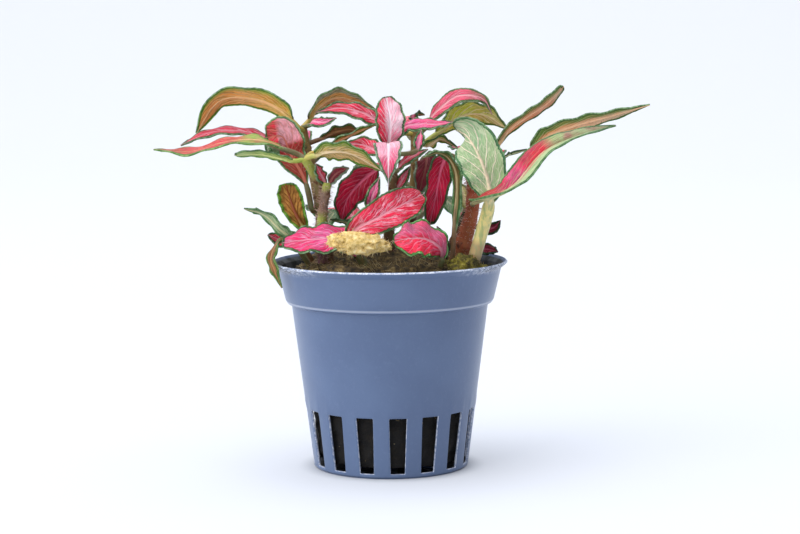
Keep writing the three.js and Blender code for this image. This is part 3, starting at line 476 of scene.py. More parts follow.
# midrib: from the stalk's foot to the tip. up: the way the upper face looks, and upTip the same at the tip.
# fold, curl and wave: how the halves rise, roll back and ripple. heel and taper: blunt or drawn-out ends.
leaves = dict(
    leftArch=dict(under="rustLeft", width=9, up=(0, 0.6, 0.8), midrib=[(-20.5, 3, 78.5),
        (-24.5, 4.5, 83), (-31.5, 5, 86), (-39.5, 5, 85.5), (-45, 4, 78)]),
    leftRed=dict(width=6, up=(0, -0.3, 0.95), wave=0.2, midrib=[(-19.9, 3.3, 74.5), (-29, 3.5, 77),
        (-35.5, 3.5, 78.5), (-42, 2, 78), (-48, -1.5, 75.5)]),
    leftLong=dict(top="longRed", width=7.5, up=(0, -0.25, 0.95), wave=0.25, midrib=[(-20, -8.9, 73.3),
        (-28, -11.4, 76.7), (-35.9, -10, 76.7), (-45, -8.5, 74.4), (-53.5, -8.5, 75)]),
    leftPale=dict(under="lime", width=4.6, up=(0, 0.4, 0.9), wave=0.15, heel=0.4, taper=0.3,
        midrib=[(-20.4, -9.8, 72.1), (-24.4, -10.8, 72.9), (-29.2, -11, 73.9), (-34.9, -11, 73.8)]),
    leftPeach=dict(under="peach", width=7.5, up=(0, 0.65, 0.75), wave=0.25, stalk=0.1,
        midrib=[(-17.6, -10.3, 73.1), (-13.8, -11.7, 74.3), (-8.4, -11, 73.8), (-1.4, -10.5, 69.9)]),
    leftTall=dict(top="tallRed", width=10, up=(-0.1, -1, 0.3), stalk=0.2, heel=0.9, taper=0.45,
        midrib=[(-17.5, -6.6, 60), (-19.2, -6.2, 67.2), (-22.3, -5.6, 73.2), (-24.3, -5.8, 77.4),
        (-28, -7.5, 77.4)]),
    leftBrown=dict(under="rustBrown", width=6.4, up=(0, 1, 0.2), wave=0.5, heel=0.5, taper=0.35, rows=10,
        midrib=[(-17.5, -8.5, 53.5), (-21, -9, 59.5), (-22.5, -9, 63.5), (-23.5, -9, 67)]),
    leftLow=dict(width=4.5, up=(0.3, 0.6, 0.7), midrib=[(-18.5, -5.5, 47.4), (-22, -7, 53.8),
        (-25, -8, 56.5), (-28.5, -9, 60), (-33, -10, 61.5)]),
    leftCrimson=dict(width=4.5, up=(-0.2, -0.8, 0.5), taper=0.6, rows=6, midrib=[(-18, 3.5, 47.1),
        (-22, 3.5, 52.6), (-25.3, 3, 52.8), (-28.4, 2, 54.2)]),
    leftHanging=dict(top="brown", under="brown", width=3.6, up=(-0.7, -0.6, 0.3),
        midrib=[(-17.5, -0.5, 47.4), (-21, -2, 52.3), (-25.3, -5, 53.2), (-27, -9.5, 50), (-26, -12, 47),
        (-24.5, -13.5, 43.5)]),
    frontLeft=dict(top="pink", width=8.5, up=(0, -0.8, 0.6), wave=0.6, taper=0.5, midrib=[(-6, -8, 47.1),
        (-9.5, -12.5, 54), (-17, -13, 54.5), (-24.5, -11, 53.5)]),
    centreBig=dict(width=9.5, up=(0.2, -0.85, 0.45), wave=0.5, stalk=0.22, heel=0.6, taper=0.5,
        midrib=[(-4, -13.5, 47.1), (-8.5, -17.5, 55.5), (-2.5, -16.5, 59.5), (3.5, -14, 62.5),
        (8, -11, 64.5)]),
    centreDark=dict(top="deep", width=8, up=(-0.2, -0.95, 0.2), midrib=[(-0.8, -3.2, 70.9),
        (-5.5, -3, 67.5), (-9.5, -4, 63), (-11, -5, 57.5)]),
    centreCurled=dict(top="dark", width=3, up=(0, 0.6, 0.8), rows=6, midrib=[(-1, -0.9, 56.6),
        (-6.5, -6.5, 57), (-10, -7.5, 58), (-13.5, -7, 58.5)]),
    centreSmall=dict(top="pink", width=3.5, up=(0, -1, 0.2), rows=6, midrib=[(-0.1, -3, 60.9),
        (-3.2, -9, 61.5), (-4, -11.5, 63), (-3, -12.5, 66), (-2, -13, 68.5)]),
    topUpright=dict(top="blush", width=7.6, up=(0, -1, 0.2), stalk=0.06, heel=0.4, taper=0.45,
        midrib=[(0, -6.7, 74.6), (0.5, -9, 81), (-0.5, -7, 86.5)]),
    topDrooping=dict(top="drooping", width=7.2, up=(0, -0.8, 0.6), stalk=0.1, heel=0.3, taper=1,
        midrib=[(0, -7.7, 74), (0, -12, 76), (0, -15, 73.5), (0, -16.5, 70.5), (0, -16.5, 67)]),
    backArch=dict(under="rustPale", width=9, up=(0, 0.5, 0.85), wave=0.15, stalk=0.07, heel=0.45,
        midrib=[(-19.6, 6.4, 79.4), (-17, 9, 83.5), (-12.5, 11, 86), (-7.5, 11, 85), (-3, 10, 83)]),
    backRed=dict(under="rust", width=5, up=(0, -0.8, 0.6), midrib=[(4.7, 8, 77), (-2.5, 5, 80.5),
        (-6.5, 5, 82.5), (-11.5, 5, 83.5), (-17, 5, 82.5)]),
    backPink=dict(top="pink", width=3.4, up=(0, -0.8, 0.6), rows=6, midrib=[(-18.8, 4.2, 79.4),
        (-17.5, 1, 80.5), (-15, -1, 80.5), (-12, -1, 81.5)]),
    backDark=dict(top="dark", under="brown", width=4, up=(0, 0.7, 0.7), rows=6, midrib=[(-18, 5.5, 75.5),
        (-13.5, 7, 77.5), (-9.5, 7, 78.5), (-6, 7, 78)]),
    backEdge=dict(under="rust", width=3, up=(0, 0.5, 0.8), rows=6, midrib=[(-18.2, -8.1, 73.4),
        (-12.5, -6, 76), (-7, -5, 78.5), (-2, -3.5, 80.5)]),
    backBright=dict(width=5.5, up=(0, -0.9, 0.4), rows=6, midrib=[(-0.8, -4.8, 72.9), (-3.5, 0, 74),
        (-6, 1.5, 75), (-10, 2, 75.5)]),
    backSmall=dict(top="dark", under="brown", width=2.8, up=(0, 0.6, 0.8), rows=6,
        midrib=[(6, 9.9, 78.6), (6, 13, 81.5), (8.5, 15, 81.5)]),
    topFlat=dict(top="pink", width=5.5, up=(0, -0.5, 0.85), midrib=[(1, -5.9, 74.7), (3.5, -4.5, 79),
        (7, -5, 80), (11, -5, 80), (15, -5, 80.5)]),
    upperRight=dict(top="pinkBrown", width=5.4, up=(-0.3, -0.7, 0.6), wave=0.25, stalk=0.14, heel=0.45,
        taper=1, midrib=[(7.8, 8.2, 77.4), (9.9, 5, 81), (12.6, 3, 83.7), (15.8, 2, 86), (19.3, 1, 86.3),
        (22.3, 1, 85.2), (24, 0, 82)]),
    rightYellow=dict(under="yellow", width=9, up=(0, 0.7, 0.7), midrib=[(7.8, 9.4, 74.5),
        (14.4, 10, 79.6), (18.4, 10, 81.7), (23.1, 10, 81.4), (28, 9, 78.3)]),
    rightBig=dict(under="veined", width=12, up=(0, 1, 0.1), upTip=(0, 0.8, 0.6), stalk=0.36,
        stalkWidth=3.4, heel=0.6, taper=0.55, rows=10, midrib=[(18.5, -11.5, 46.6), (21, -12, 55.5),
        (22.5, -14, 61.5), (22.5, -15.5, 67), (20.5, -16, 73), (17.8, -14.2, 77.8), (15.4, -10.5, 79.1)]),
    rightLong=dict(top="longGreen", width=8.6, up=(0, -0.3, 0.95), fold=36, wave=0.2, taper=0.7, rows=10,
        midrib=[(19.1, -8.6, 61.8), (19.5, -17.3, 63.4), (24.3, -20.6, 64.9), (28.4, -20.8, 67.4),
        (34.7, -17, 74), (43, -11.5, 77.4), (52, -6, 79.5)]),
    rightFar=dict(under="orange", width=6.4, up=(0, 0.7, 0.7), wave=0.2, stalk=0.41, heel=0.35, rows=10,
        midrib=[(25.4, 3.6, 70.2), (28.1, 3, 66.2), (31.1, 3, 68.5), (34.1, 2.5, 74.2), (37.8, 2, 77.2),
        (44.3, 1.5, 79.5), (52.3, 1, 81.6), (60.5, 0, 84)]),
    rightNarrow=dict(under="orange", width=4.8, up=(-0.4, 0.6, 0.7), wave=0.1, heel=0.35, taper=0.3,
        midrib=[(23.6, 4.2, 71.6), (27.4, 4, 77.6), (32.5, 4, 81.4), (37.1, 3.5, 84.5), (40.7, 3, 88.3)]),
    rightArch=dict(under="arch", width=4.3, up=(0.6, 0.5, 0.6), midrib=[(14.2, -11.6, 47),
        (15.3, -11.2, 60), (15.6, -10.7, 68), (14, -10.7, 72.3), (11.2, -11.3, 73.9), (7.8, -12.3, 73)]),
    rightHanging=dict(top="deep", width=6.4, up=(-0.1, -1, 0.2), stalk=0.25, heel=0.4, taper=0.4,
        midrib=[(16.2, -4.2, 71.8), (13.7, -5.6, 72.8), (12.1, -7, 70.1), (11, -7.5, 64.8),
        (9.3, -8, 57.1)]),
    rightDusky=dict(top="dusky", width=6, up=(-0.3, -0.9, 0.2), stalk=0.25, rows=6,
        midrib=[(6.9, 7.6, 69.5), (8.5, 4, 72), (8.8, 1.5, 71), (8, 0.5, 67.5), (6.5, 0, 62)]),
    frontRight=dict(top="split", width=10, up=(0, -0.85, 0.5), wave=0.8, heel=0.9, taper=0.7,
        midrib=[(11.5, -13.5, 47.2), (11.8, -16.5, 52), (8.6, -18.6, 54.7), (4.7, -20.2, 55.2),
        (0.8, -19.6, 54.5)]),
    frontSliver=dict(top="dark", width=3, up=(0.3, -0.9, 0.2), rows=6, midrib=[(12.5, -9, 46.9),
        (12.5, -10, 53), (11, -11, 57)]),
    rightBit=dict(top="dark", width=3.5, up=(0, -0.9, 0.4), rows=6, midrib=[(18.8, 4, 56.1), (22, 4, 55),
        (24.5, 3.7, 55.3), (26, 3, 57)]),
    rightLow=dict(top="dark", width=4, up=(0, -0.7, 0.7), rows=6, midrib=[(16.5, 5, 50), (22.5, 6, 50),
        (25.5, 5, 49.5)]),
    centreRed=dict(width=3.5, up=(0.1, -0.6, 0.8), rows=6, midrib=[(1.6, -6.3, 69.2), (4, -8, 72),
        (9, -8, 74.5)]),
    centreStrip=dict(top="pink", width=2.8, up=(0, -1, 0.1), stalk=0.4, rows=6,
        midrib=[(1.2, -7.3, 73.2), (6, -10.5, 74), (7, -11, 76.5), (7.5, -9.5, 79)]),
    centreCream=dict(top="dark", under="peach", width=3.4, up=(0, 0.5, 0.8), rows=6,
        midrib=[(7.5, 8.2, 75.8), (9, 0, 74.8), (12, -1, 76.5), (16, -1, 74.5)]),
    rightVeined=dict(under="yellow", width=4, up=(0, 1, 0.2), rows=6, midrib=[(17.5, 2.5, 60.5),
        (17.5, 2, 63), (16.5, 2, 66)]),
    rightInner=dict(top="dark", width=4, up=(0, -1, 0.1), rows=6, midrib=[(17, -4.2, 52.5), (18, -2, 57),
        (18.5, -2, 61)]),
    rightTip=dict(top="dark", width=2.2, up=(0, 0.4, 0.9), rows=6, midrib=[(24.9, 4.9, 71.1),
        (28.5, 8.2, 72.3), (32.5, 7.5, 73.5)]),
    rearTop=dict(width=10, midrib=[(5.3, 10.4, 76), (3, 19, 80), (1, 27, 79), (0, 34, 73)]),
    rearLeft=dict(top="pink", width=9.5, midrib=[(-18.5, 6.8, 74), (-22, 14, 77), (-26, 21, 76.5),
        (-30, 28, 72)]),
    rearRight=dict(width=9, midrib=[(23.9, 5.8, 69.6), (24.2, 13, 72.5), (22.5, 21, 71), (21, 29, 66)]),
    rearLeftLow=dict(width=9, midrib=[(-6, 11, 47.4), (-9, 17, 57), (-13, 24, 58), (-17, 31, 52)]),
    rearRightLow=dict(top="pink", width=9, midrib=[(6.1, 11.5, 56), (11, 18, 61), (15, 25, 59.5),
        (19, 32, 53)]),
    rearMid=dict(width=7.5, midrib=[(4.5, 10, 65), (-3, 19, 69), (-6, 26, 68), (-7, 32, 63)]),
)


def bladeOutline(s, heel, taper):
    peak = heel / (heel + taper)
    return (s ** heel * (1 - s) ** taper) / (peak ** heel * (1 - peak) ** taper)


def leafRow(leaf, points, t):
    # one line across the blade: its centre, directions, half-width and ripple
    stalk = leaf["stalk"]
    s = (t - stalk) / (1 - stalk)
    inside = min(max(s, 0), 1)
    tangent = curveTangent(points, t)
    up = Vector(leaf["up"])
    normal = up.lerp(Vector(leaf["upTip"] or up), t)
    normal = (normal - tangent * normal.dot(tangent)).normalized()
    ripple = math.cos(math.pi * leaf["rows"] * inside) if 0 < s < 1 else 0
    half = leaf["width"] / 2 * bladeOutline(inside, leaf["heel"], leaf["taper"])
    half *= 1 - leafBuild["notch"] * (1 - ripple)
    tooth = abs((inside * leaf["rows"] * leafBuild["teeth"]) % 1 - 0.5) * 2
    half *= 1 - leafBuild["toothDepth"] * tooth
    least = leaf["stalkWidth"] * 0.35 if s < 0.5 else leafBuild["tipHalfWidth"]
    half = max(half, least)
    wave = leaf["wave"] * ripple if half > leafBuild["plainBelow"] else 0
    return s, curvePoint(points, t), normal, tangent.cross(normal), half, wave


def addLeaf(bm, leaf, seed, rows, columns, firstMaterial):
    # a grid is laid on the leaf's surface and given its thickness; a tapered tube is its stalk and rib
    points = [Vector(p) for p in leaf["midrib"]]
    length = curveLength(points)
    shareLayer = bm.verts.layers.float_vector["leafShare"]
    placeLayer = bm.verts.layers.float_vector["leafPlace"]
    rise, spread = math.sin(math.radians(leaf["fold"])), math.cos(math.radians(leaf["fold"]))
    look = leafLooks[leaf["top"]]
    grid = bmesh.ops.create_grid(bm, x_segments=rows, y_segments=columns, size=1, calc_uvs=True)
    lines = [leafRow(leaf, points, i / rows) for i in range(rows + 1)]
    for vert in grid["verts"]:
        i, v = round((vert.co.x + 1) / 2 * rows), -vert.co.y
        s, centre, normal, side, half, wave = lines[i]
        lift = half * (rise * abs(v) - leaf["curl"] * v * v) + wave * v * abs(v)
        if 0 < s < 1:
            phase = s * look["pairs"] - look["sweep"] * abs(v) ** 0.85 + (0.4 if v > 0 else 0)
            swell = math.sin(math.pi * (phase % 1)) * abs(v) * (1 - abs(v)) * 3
            lift += leafBuild["quilt"] * swell * min(half / 3, 1)
            place = Vector((s * length / 4, v * half / 3, seed * 7.3))
            lift += leafBuild["crumple"] * noise.noise(place) * abs(v) * min(half / 4, 1)
        vert.co = (centre + side * (half * spread * v) + normal * lift) * mm
        vert[shareLayer] = Vector((s, v, seed))
        vert[placeLayer] = Vector((s * length, half * v, half))
    faces = list({f for v in grid["verts"] for f in v.link_faces})
    for face in faces:
        face.material_index = firstMaterial
    bm.normal_update()
    shell = bmesh.ops.solidify(bm, geom=faces, thickness=leafBuild["thickness"] * mm)
    for face in shell["geom"]:
        if isinstance(face, bmesh.types.BMFace):
            face.material_index = firstMaterial + 1

    thick = leaf["stalkWidth"] * 0.36 + leaf["width"] * 0.022
    thin = 0.16 + leaf["width"] * 0.02

    def ribRadius(s):
        return (thick + (thin - thick) * smoothStep(s, -0.06, 0.2)) * (1 - 0.75 * max(s, 0))

    path = [leaf["anchor"]] if "anchor" in leaf else []
    shares = [-0.3] * len(path)
    steps = 12
    for k in range(steps + 1):
        t = 0.02 + (0.97 - 0.02) * k / steps
        s, centre, normal, side, half, wave = leafRow(leaf, points, t)
        sunk = (ribRadius(s) + leafBuild["thickness"] * 0.2) * smoothStep(s, -0.1, 0.1)
        path.append(centre - normal * sunk)
        shares.append(s)

    def radiusAt(t, angle):
        place = t * (len(path) - 1)
        i = min(int(place), len(path) - 2)
        return ribRadius(shares[i] + (shares[i + 1] - shares[i]) * (place - i))

    for vert in addTube(bm, path, radiusAt, leafBuild["ribSides"], leafBuild["ribRows"], firstMaterial + 2):
        near = min(range(len(path)), key=lambda k: (path[k] * mm - vert.co).length_squared)
        vert[shareLayer] = Vector((shares[near], 0, seed))
        vert[placeLayer] = Vector((shares[near] * length, 0, 0.5))


def leafMesh():
    bm = bmesh.new()
    bm.loops.layers.uv.new("UVMap")
    bm.verts.layers.float_vector.new("leafShare")
    bm.verts.layers.float_vector.new("leafPlace")
    return bm


slots = {row["node"]: row["material_slot"] for row in frame["record"]["subparts"]}


def nodeName(key):
    return re.sub("([A-Z])", lambda m: "_" + m[1].lower(), key)


# ---- stems ----
plugTop = 46.4
rootDepth = 7
joinReach = 3.2  # a stalk that starts this near a stem runs on into it
stemBuild = dict(sides=20, rows=70, knots=4, knotSwell=0.22, knotLength=0.025, crinkle=0.1, hairRadius=0.06)

# joints: heights at which leaves grow from the stem, with their reach. young: small leaves fused to it
usualStem = dict(colours=("5c3a24", "7c6a3c"), hairs=120, hairLength=0.9, young=[], joints=[])
stems = dict(
    stemLeft=dict(root=(-14, -3), path=[(-15.3, -4, 55), (-15.8, -5, 62), (-16.4, -7, 67.5),
        (-19, -9.5, 72.5)], radii=(1.5, 1), colours=("5c432c", "7c7048"), hairs=160, hairLength=0.9,
        joints=[(71, 4)]),
    stemLeftHairy=dict(root=(-15, -9), path=[(-15.5, -9, 55), (-15, -9, 61), (-14, -9, 67)],
        radii=(1.2, 1), colours=("6b4450", "7c6a58"), hairs=420, hairLength=1.4, joints=[(57.5, 3.4),
        (67, 2.4)], young=[
        dict(width=3.5, up=(0.3, -0.7, 0.6), midrib=[(-14, -9, 66), (-15.5, -9.5, 69),
            (-16.5, -10.5, 71.5)]),
        dict(top="dusky", width=4, up=(-0.3, -0.7, 0.6), midrib=[(-14, -9, 66), (-12, -10, 69),
            (-9, -10.5, 70.5)]),
    ]),
    stemBackLeft=dict(root=(-14, 5), path=[(-16, 5, 58), (-18, 5, 69), (-20, 5, 79)], radii=(1.2, 0.9),
        young=[
        dict(width=4.5, midrib=[(-15.8, 5, 57), (-18, 11, 60), (-18, 17, 58.5)]),
        dict(top="pink", width=5, midrib=[(-18.4, 5, 70.5), (-14, 11, 74), (-10, 16, 74)]),
    ]),
    stemCentre=dict(root=(0, 2), path=[(0, 1, 55), (1, -3, 66), (0, -6.5, 74)], radii=(1.4, 1),
        colours=("54402c", "7c6448"), hairs=220, hairLength=1, young=[
        dict(width=3.2, up=(-0.3, -0.9, 0.3), midrib=[(1, -2, 64), (3, -5, 67), (5, -6, 70.5)]),
    ]),
    stemBack=dict(root=(5, 11), path=[(5, 10, 56), (6, 9, 67), (6, 9, 78)], radii=(1.4, 0.9), young=[
        dict(width=5, midrib=[(5.8, 9.2, 65), (9, 14, 69), (12, 18, 69)]),
        dict(width=5, midrib=[(5, 10, 57), (0, 14, 61.5), (-3, 18, 61)]),
    ]),
    stemRightHairy=dict(root=(15.5, -7), path=[(17, -7, 53), (19, -7, 60), (19, -6, 66), (17, -5, 71)],
        radii=(2.2, 0.8), colours=("94462a", "9c4c34"), hairs=620, hairLength=1.5),
    stemBackRight=dict(root=(14, 4), path=[(17, 4, 56), (21, 4, 64), (24, 4, 71)], radii=(1.4, 0.9),
        young=[
        dict(width=4.5, midrib=[(16.4, 4, 54.5), (18, 11, 58), (19, 17, 56)]),
        dict(top="pink", width=5, midrib=[(23.2, 4, 69), (18, 10, 73), (14, 14, 74)]),
    ]),
)


def stemPoints(stem):
    x, y = stem["root"]
    return [Vector(p) for p in [(x, y, plugTop - rootDepth), (x, y, plugTop), *stem["path"]]]


stemAxes = [[curvePoint(stemPoints(stem), i / 60) for i in range(61)] for stem in stems.values()]


def stemRadius(stem, t):
    foot, top = stem["radii"]
    return foot + (top - foot) * smoothStep(t, 0.2, 1)


def stemMaterial(name, stem):
    material, tree, shader = newMaterial(name + "Skin", **{"Specular IOR Level": 0.2})
    place = objectPlace(tree)
    height = split(tree, place)[2]
    colour = mix(tree, remap(tree, height, 0.05, 0.07), *stem["colours"])
    mottle = remap(tree, noiseAt(tree, stretch(tree, place, 0.25), 1500, 5, 0.65), 0.35, 0.68)
    colour = mix(tree, times(tree, mottle, 0.45), colour, "94704c")
    colour = mix(tree, remap(tree, noiseAt(tree, place, 420), 0.55, 0.7), colour, "5a3326")
    # paler and greener where leaves grow from it
    for z, reach in stem["joints"]:
        amount = remap(tree, distance(tree, height, z * mm), reach * 0.3 * mm, reach * mm, 0.85, 0)
        colour = mix(tree, amount, colour, "a4ac50")
    setSurface(tree, shader, colour, remap(tree, mottle, 0, 1, 0.5, 0.75), mottle, 0.6, 0.15)
    return material


def hairMaterial():
    material, tree, shader = newMaterial("stemHair")
    tone = remap(tree, noiseAt(tree, objectPlace(tree), 700, 2), 0.35, 0.65)
    setSurface(tree, shader, mix(tree, tone, "d2b4a4", "9c6c5c"), 0.6)
    return material


def addMany(bm, count, addOne):
    # in batches, since each operator goes over the whole of its mesh
    batch = bmesh.new()
    for k in range(count):
        addOne(batch)
        if k % 40 == 39 or k == count - 1:
            mesh = bpy.data.meshes.new("batch")
            batch.to_mesh(mesh)
            bm.from_mesh(mesh)
            bpy.data.meshes.remove(mesh)
            batch.clear()
    batch.free()


def addSpike(bm, foot, tip):
    # a hair is a thin cone from foot to tip, in millimetres
    along = tip - foot
    turn = along.to_track_quat("Z", "Y").to_matrix().to_4x4()
    place = Matrix.Translation((foot + tip) / 2 * mm) @ turn
    radius = stemBuild["hairRadius"]
    made = bmesh.ops.create_cone(bm, cap_ends=True, segments=3, radius1=radius * mm,
                                 radius2=radius * 0.2 * mm, depth=along.length * mm, matrix=place)
    paint(made, 1)


def buildStem(name, stem, hair):
    draw = random.Random(name)
    bm = leafMesh()
    points = stemPoints(stem)
    knots = [draw.uniform(0.3, 0.95) for _ in range(stemBuild["knots"])]

    def radiusAt(t, angle):
        swell = sum(stemBuild["knotSwell"] * math.exp(-((t - k) / stemBuild["knotLength"]) ** 2)
                    for k in knots)
        spot = Vector((math.cos(angle) * 1.5, math.sin(angle) * 1.5, t * 40))
        return stemRadius(stem, t) * (1 + swell + stemBuild["crinkle"] * noise.noise(spot))

    addTube(bm, points, radiusAt, stemBuild["sides"], stemBuild["rows"])

    def addHair(batch):
        t = draw.uniform(0.28, 0.98)
        angle = draw.uniform(0, 2 * math.pi)
        tangent = curveTangent(points, t)
        across = tangent.orthogonal().normalized()
        outward = across * math.cos(angle) + tangent.cross(across) * math.sin(angle)
        foot = curvePoint(points, t) + outward * (stemRadius(stem, t) * 0.9)
        lean = tangent * draw.uniform(-0.5, 0.6) + tangent.cross(outward) * draw.uniform(-0.5, 0.5)
        tip = foot + (outward + lean).normalized() * stem["hairLength"] * draw.uniform(0.5, 1.1)
        addSpike(batch, foot, tip)

    addMany(bm, stem["hairs"], addHair)
    materials = [stemMaterial(name, stem), hair]
    for leaf in stem["young"]:
        look = {**usualLeaf, "rows": 6, **leaf}
        addLeaf(bm, look, draw.uniform(0, 9), leafBuild["youngRows"], leafBuild["youngColumns"],
                len(materials))
        materials += leafFaces(look)
    finishPiece(name, bm, materials, slots[nodeName(name)], [nodeName(name)])


def leafFaces(leaf):
    return [leafMaterial(leaf["top"], True), leafMaterial(leaf["under"], False), ribMaterial(leaf["under"])]


hair = hairMaterial()
for name, stem in stems.items():
    buildStem(name, {**usualStem, **stem}, hair)
print("stems built:", len(stems))

for key, leaf in leaves.items():
    name = "leaf" + key[0].upper() + key[1:]
    draw = random.Random(name)
    leaf = {**usualLeaf, **leaf}
    foot = Vector(leaf["midrib"][0])
    axisPoint = min((p for axis in stemAxes for p in axis), key=lambda p: (p - foot).length)
    leaf["anchor"] = axisPoint if (axisPoint - foot).length < joinReach else foot - Vector((0, 0, 3))
    bm = leafMesh()
    addLeaf(bm, leaf, draw.uniform(0, 9), leafBuild["rows"], leafBuild["columns"], 0)
    finishPiece(name, bm, leafFaces(leaf), slots[nodeName(name)], [nodeName(name)], 80)
print("leaves built:", len(leaves))


# ---- pot ----
potLook = dict(
    outer=[(17.6, 0), (18.1, 0.5), (22.9, 38.3), (23.9, 38.7), (24.3, 39.4), (26, 46.6), (26.4, 47),
           (27.3, 47.6)],
    wall=0.6, slotCount=16, slotTurn=5, slotBottom=1.1, slotTop=14.2, slotHalf=(1.65, 2.05),
    columnsInSlot=4, columnsBetween=8, ridgeTop=4.2, ridgeHeight=0.13, edge=0.16,
    holeCount=8, holeReach=10, holeSize=(8, 3, 5),
    # worn: the pale of the lip's wear, also used as painted highlight on the band's lower edge and the
    # slots' cut edges
    colour="586b8b", light="7d8caa", dark="425273", worn="d4d9e4", inside="20242d",
)


def outerRadius(z):
    pairs = list(zip(potLook["outer"], potLook["outer"][1:]))
    for (r0, z0), (r1, z1) in pairs:
        if z <= z1:
            return r0 + (r1 - r0) * (z - z0) / (z1 - z0)
    return potLook["outer"][-1][0]


def slotAt(z):
    # how far up the slots a height is, and their half-width there
    low, high = potLook["slotHalf"]
    share = (z - potLook["slotBottom"]) / (potLook["slotTop"] - potLook["slotBottom"])
    return share, low + (high - low) * min(max(share, 0), 1)


def buildPot():
    # a flat grid is rolled up into the wall, with its columns on the slots' sides
    look = potLook
    heights = [0.5, 1.1, 3.5, 6, 8.5, 11, 13, 14.2, 15, 16.2, 17.6, 20, 24, 28, 32, 36, 38.3, 38.7, 39.4,
               41, 43, 45, 46.2, 46.6]
    rows = [(r, 0) for r in (0.01, 3, 6, 10, 14, 17.6)] + [(outerRadius(z), z) for z in heights]
    rows += [(26.35, 46.9), (27, 47.4), (27.5, 47.9)]
    inSlot, between = look["columnsInSlot"], look["columnsBetween"]
    columns = (inSlot + between) * look["slotCount"]
    pitch = 2 * math.pi / look["slotCount"]
    start = math.radians(look["slotTurn"] - 90)
    bm = bmesh.new()
    grid = bmesh.ops.create_grid(bm, x_segments=columns, y_segments=len(rows) - 1, size=1)
    for vert in grid["verts"]:
        number, k = divmod(round((vert.co.x + 1) / 2 * columns), inSlot + between)
        radius, z = rows[round((vert.co.y + 1) / 2 * (len(rows) - 1))]
        halfTurn = slotAt(z)[1] / max(radius, 17)
        if k <= inSlot:
            turn = -halfTurn + 2 * halfTurn * k / inSlot
        else:
            turn = halfTurn + (pitch - 2 * halfTurn) * (k - inSlot) / between
        angle = start + pitch * number + turn
        # a faint ridge runs up from each side of a slot
        nearSide = max(math.exp(-((abs(t) - halfTurn) * radius / 0.5) ** 2) for t in (turn, turn - pitch))
        above = smoothStep(z, 13.5, 14.5) * (1 - smoothStep(z, 15, 14.2 + look["ridgeTop"]))
        radius += look["ridgeHeight"] * nearSide * above
        vert.co = Vector((radius * math.cos(angle), radius * math.sin(angle), z)) * mm
    cut = []
    for face in bm.faces:
        centre = face.calc_center_median() / mm
        turn = (math.atan2(centre.y, centre.x) - start) % pitch
        share, half = slotAt(centre.z)
        if 0 < share < 1 and min(turn, pitch - turn) * centre.xy.length < half:
            cut.append(face)
    bmesh.ops.delete(bm, geom=cut, context="FACES")
    bmesh.ops.remove_doubles(bm, verts=bm.verts, dist=0.02 * mm)
    bmesh.ops.recalc_face_normals(bm, faces=bm.faces)
    wallFace = min(bm.faces, key=lambda f: abs(f.calc_center_median().z - 30 * mm))
    if wallFace.normal.dot(wallFace.calc_center_median()) < 0:
        bmesh.ops.reverse_faces(bm, faces=bm.faces)
    materials = [potMaterial(), insideMaterial(), rimMaterial()]
    piece = finishPiece("netPot", bm, materials, slots["pot"], ["pot"], 35, False)
    addModifier(piece, "wall", "SOLIDIFY", thickness=look["wall"] * mm, offset=-1, use_even_offset=True,
                material_offset=1, material_offset_rim=2)
    addModifier(piece, "edges", "BEVEL", width=look["edge"] * mm, segments=2, limit_method="ANGLE",
                angle_limit=math.radians(50), harden_normals=False)
    holes = bmesh.new()
    size = Matrix.Diagonal(Vector(look["holeSize"]) * mm).to_4x4()
    for i in range(look["holeCount"]):
        turn = Matrix.Rotation(i * 2 * math.pi / look["holeCount"], 4, "Z")
        place = turn @ Matrix.Translation((look["holeReach"] * mm, 0, 0))
        bmesh.ops.create_cube(holes, size=1, matrix=place @ size)
    mesh = bpy.data.meshes.new("baseHoles")
    holes.to_mesh(mesh)
    cutter = addObject("baseHoles", mesh)
    cutter.hide_render = True
    cutter.hide_set(True)
    addModifier(piece, "baseHoles", "BOOLEAN", operation="DIFFERENCE", object=cutter)
    return cutter


def potMaterial():
    look = potLook
    material, tree, shader = newMaterial("potPlastic")
    place = objectPlace(tree)
    x, y, z = split(tree, place)
    sideways = calc(tree, "ABSOLUTE", x)
    cloudy = remap(tree, noiseAt(tree, place, 60, 4), 0.3, 0.7)
    colour = mix(tree, times(tree, cloudy, 0.35), look["colour"], look["dark"])
    grime = remap(tree, noiseAt(tree, place, 900, 6, 0.7), 0.5, 0.75)
    colour = mix(tree, times(tree, grime, 0.12), colour, look["light"])
    # a pale line is painted along the band's lower edge, a painted highlight where its rounded edge catches
    # the light
    paintedEdgeHighlight = remap(tree, distance(tree, z, 0.0391), 0.0001, 0.0004, 0.35, 0)
    colour = mix(tree, paintedEdgeHighlight, colour, look["worn"])
    # the lip is scuffed and scratched at its two sides
    worn = times(tree, remap(tree, z, 0.0458, 0.0476), remap(tree, sideways, 0.014, 0.023),
                 remap(tree, noiseAt(tree, place, 1100, 5, 0.7), 0.42, 0.6))
    colour = mix(tree, worn, colour, look["worn"])
    scratch = remap(tree, noiseAt(tree, stretch(tree, place, 2.5), 1300, 4, 0.75), 0.49, 0.54)
    scratch = times(tree, scratch, remap(tree, z, 0.0463, 0.047), remap(tree, sideways, 0.018, 0.0235))
    colour = mix(tree, scratch, colour, look["inside"])
    rough = calc(tree, "ADD", remap(tree, grime, 0, 1, 0.3, 0.4), times(tree, worn, 0.3))
    setSurface(tree, shader, colour, rough, calc(tree, "ADD", grime, times(tree, worn, 2)), 0.25, 0.05)
    return material


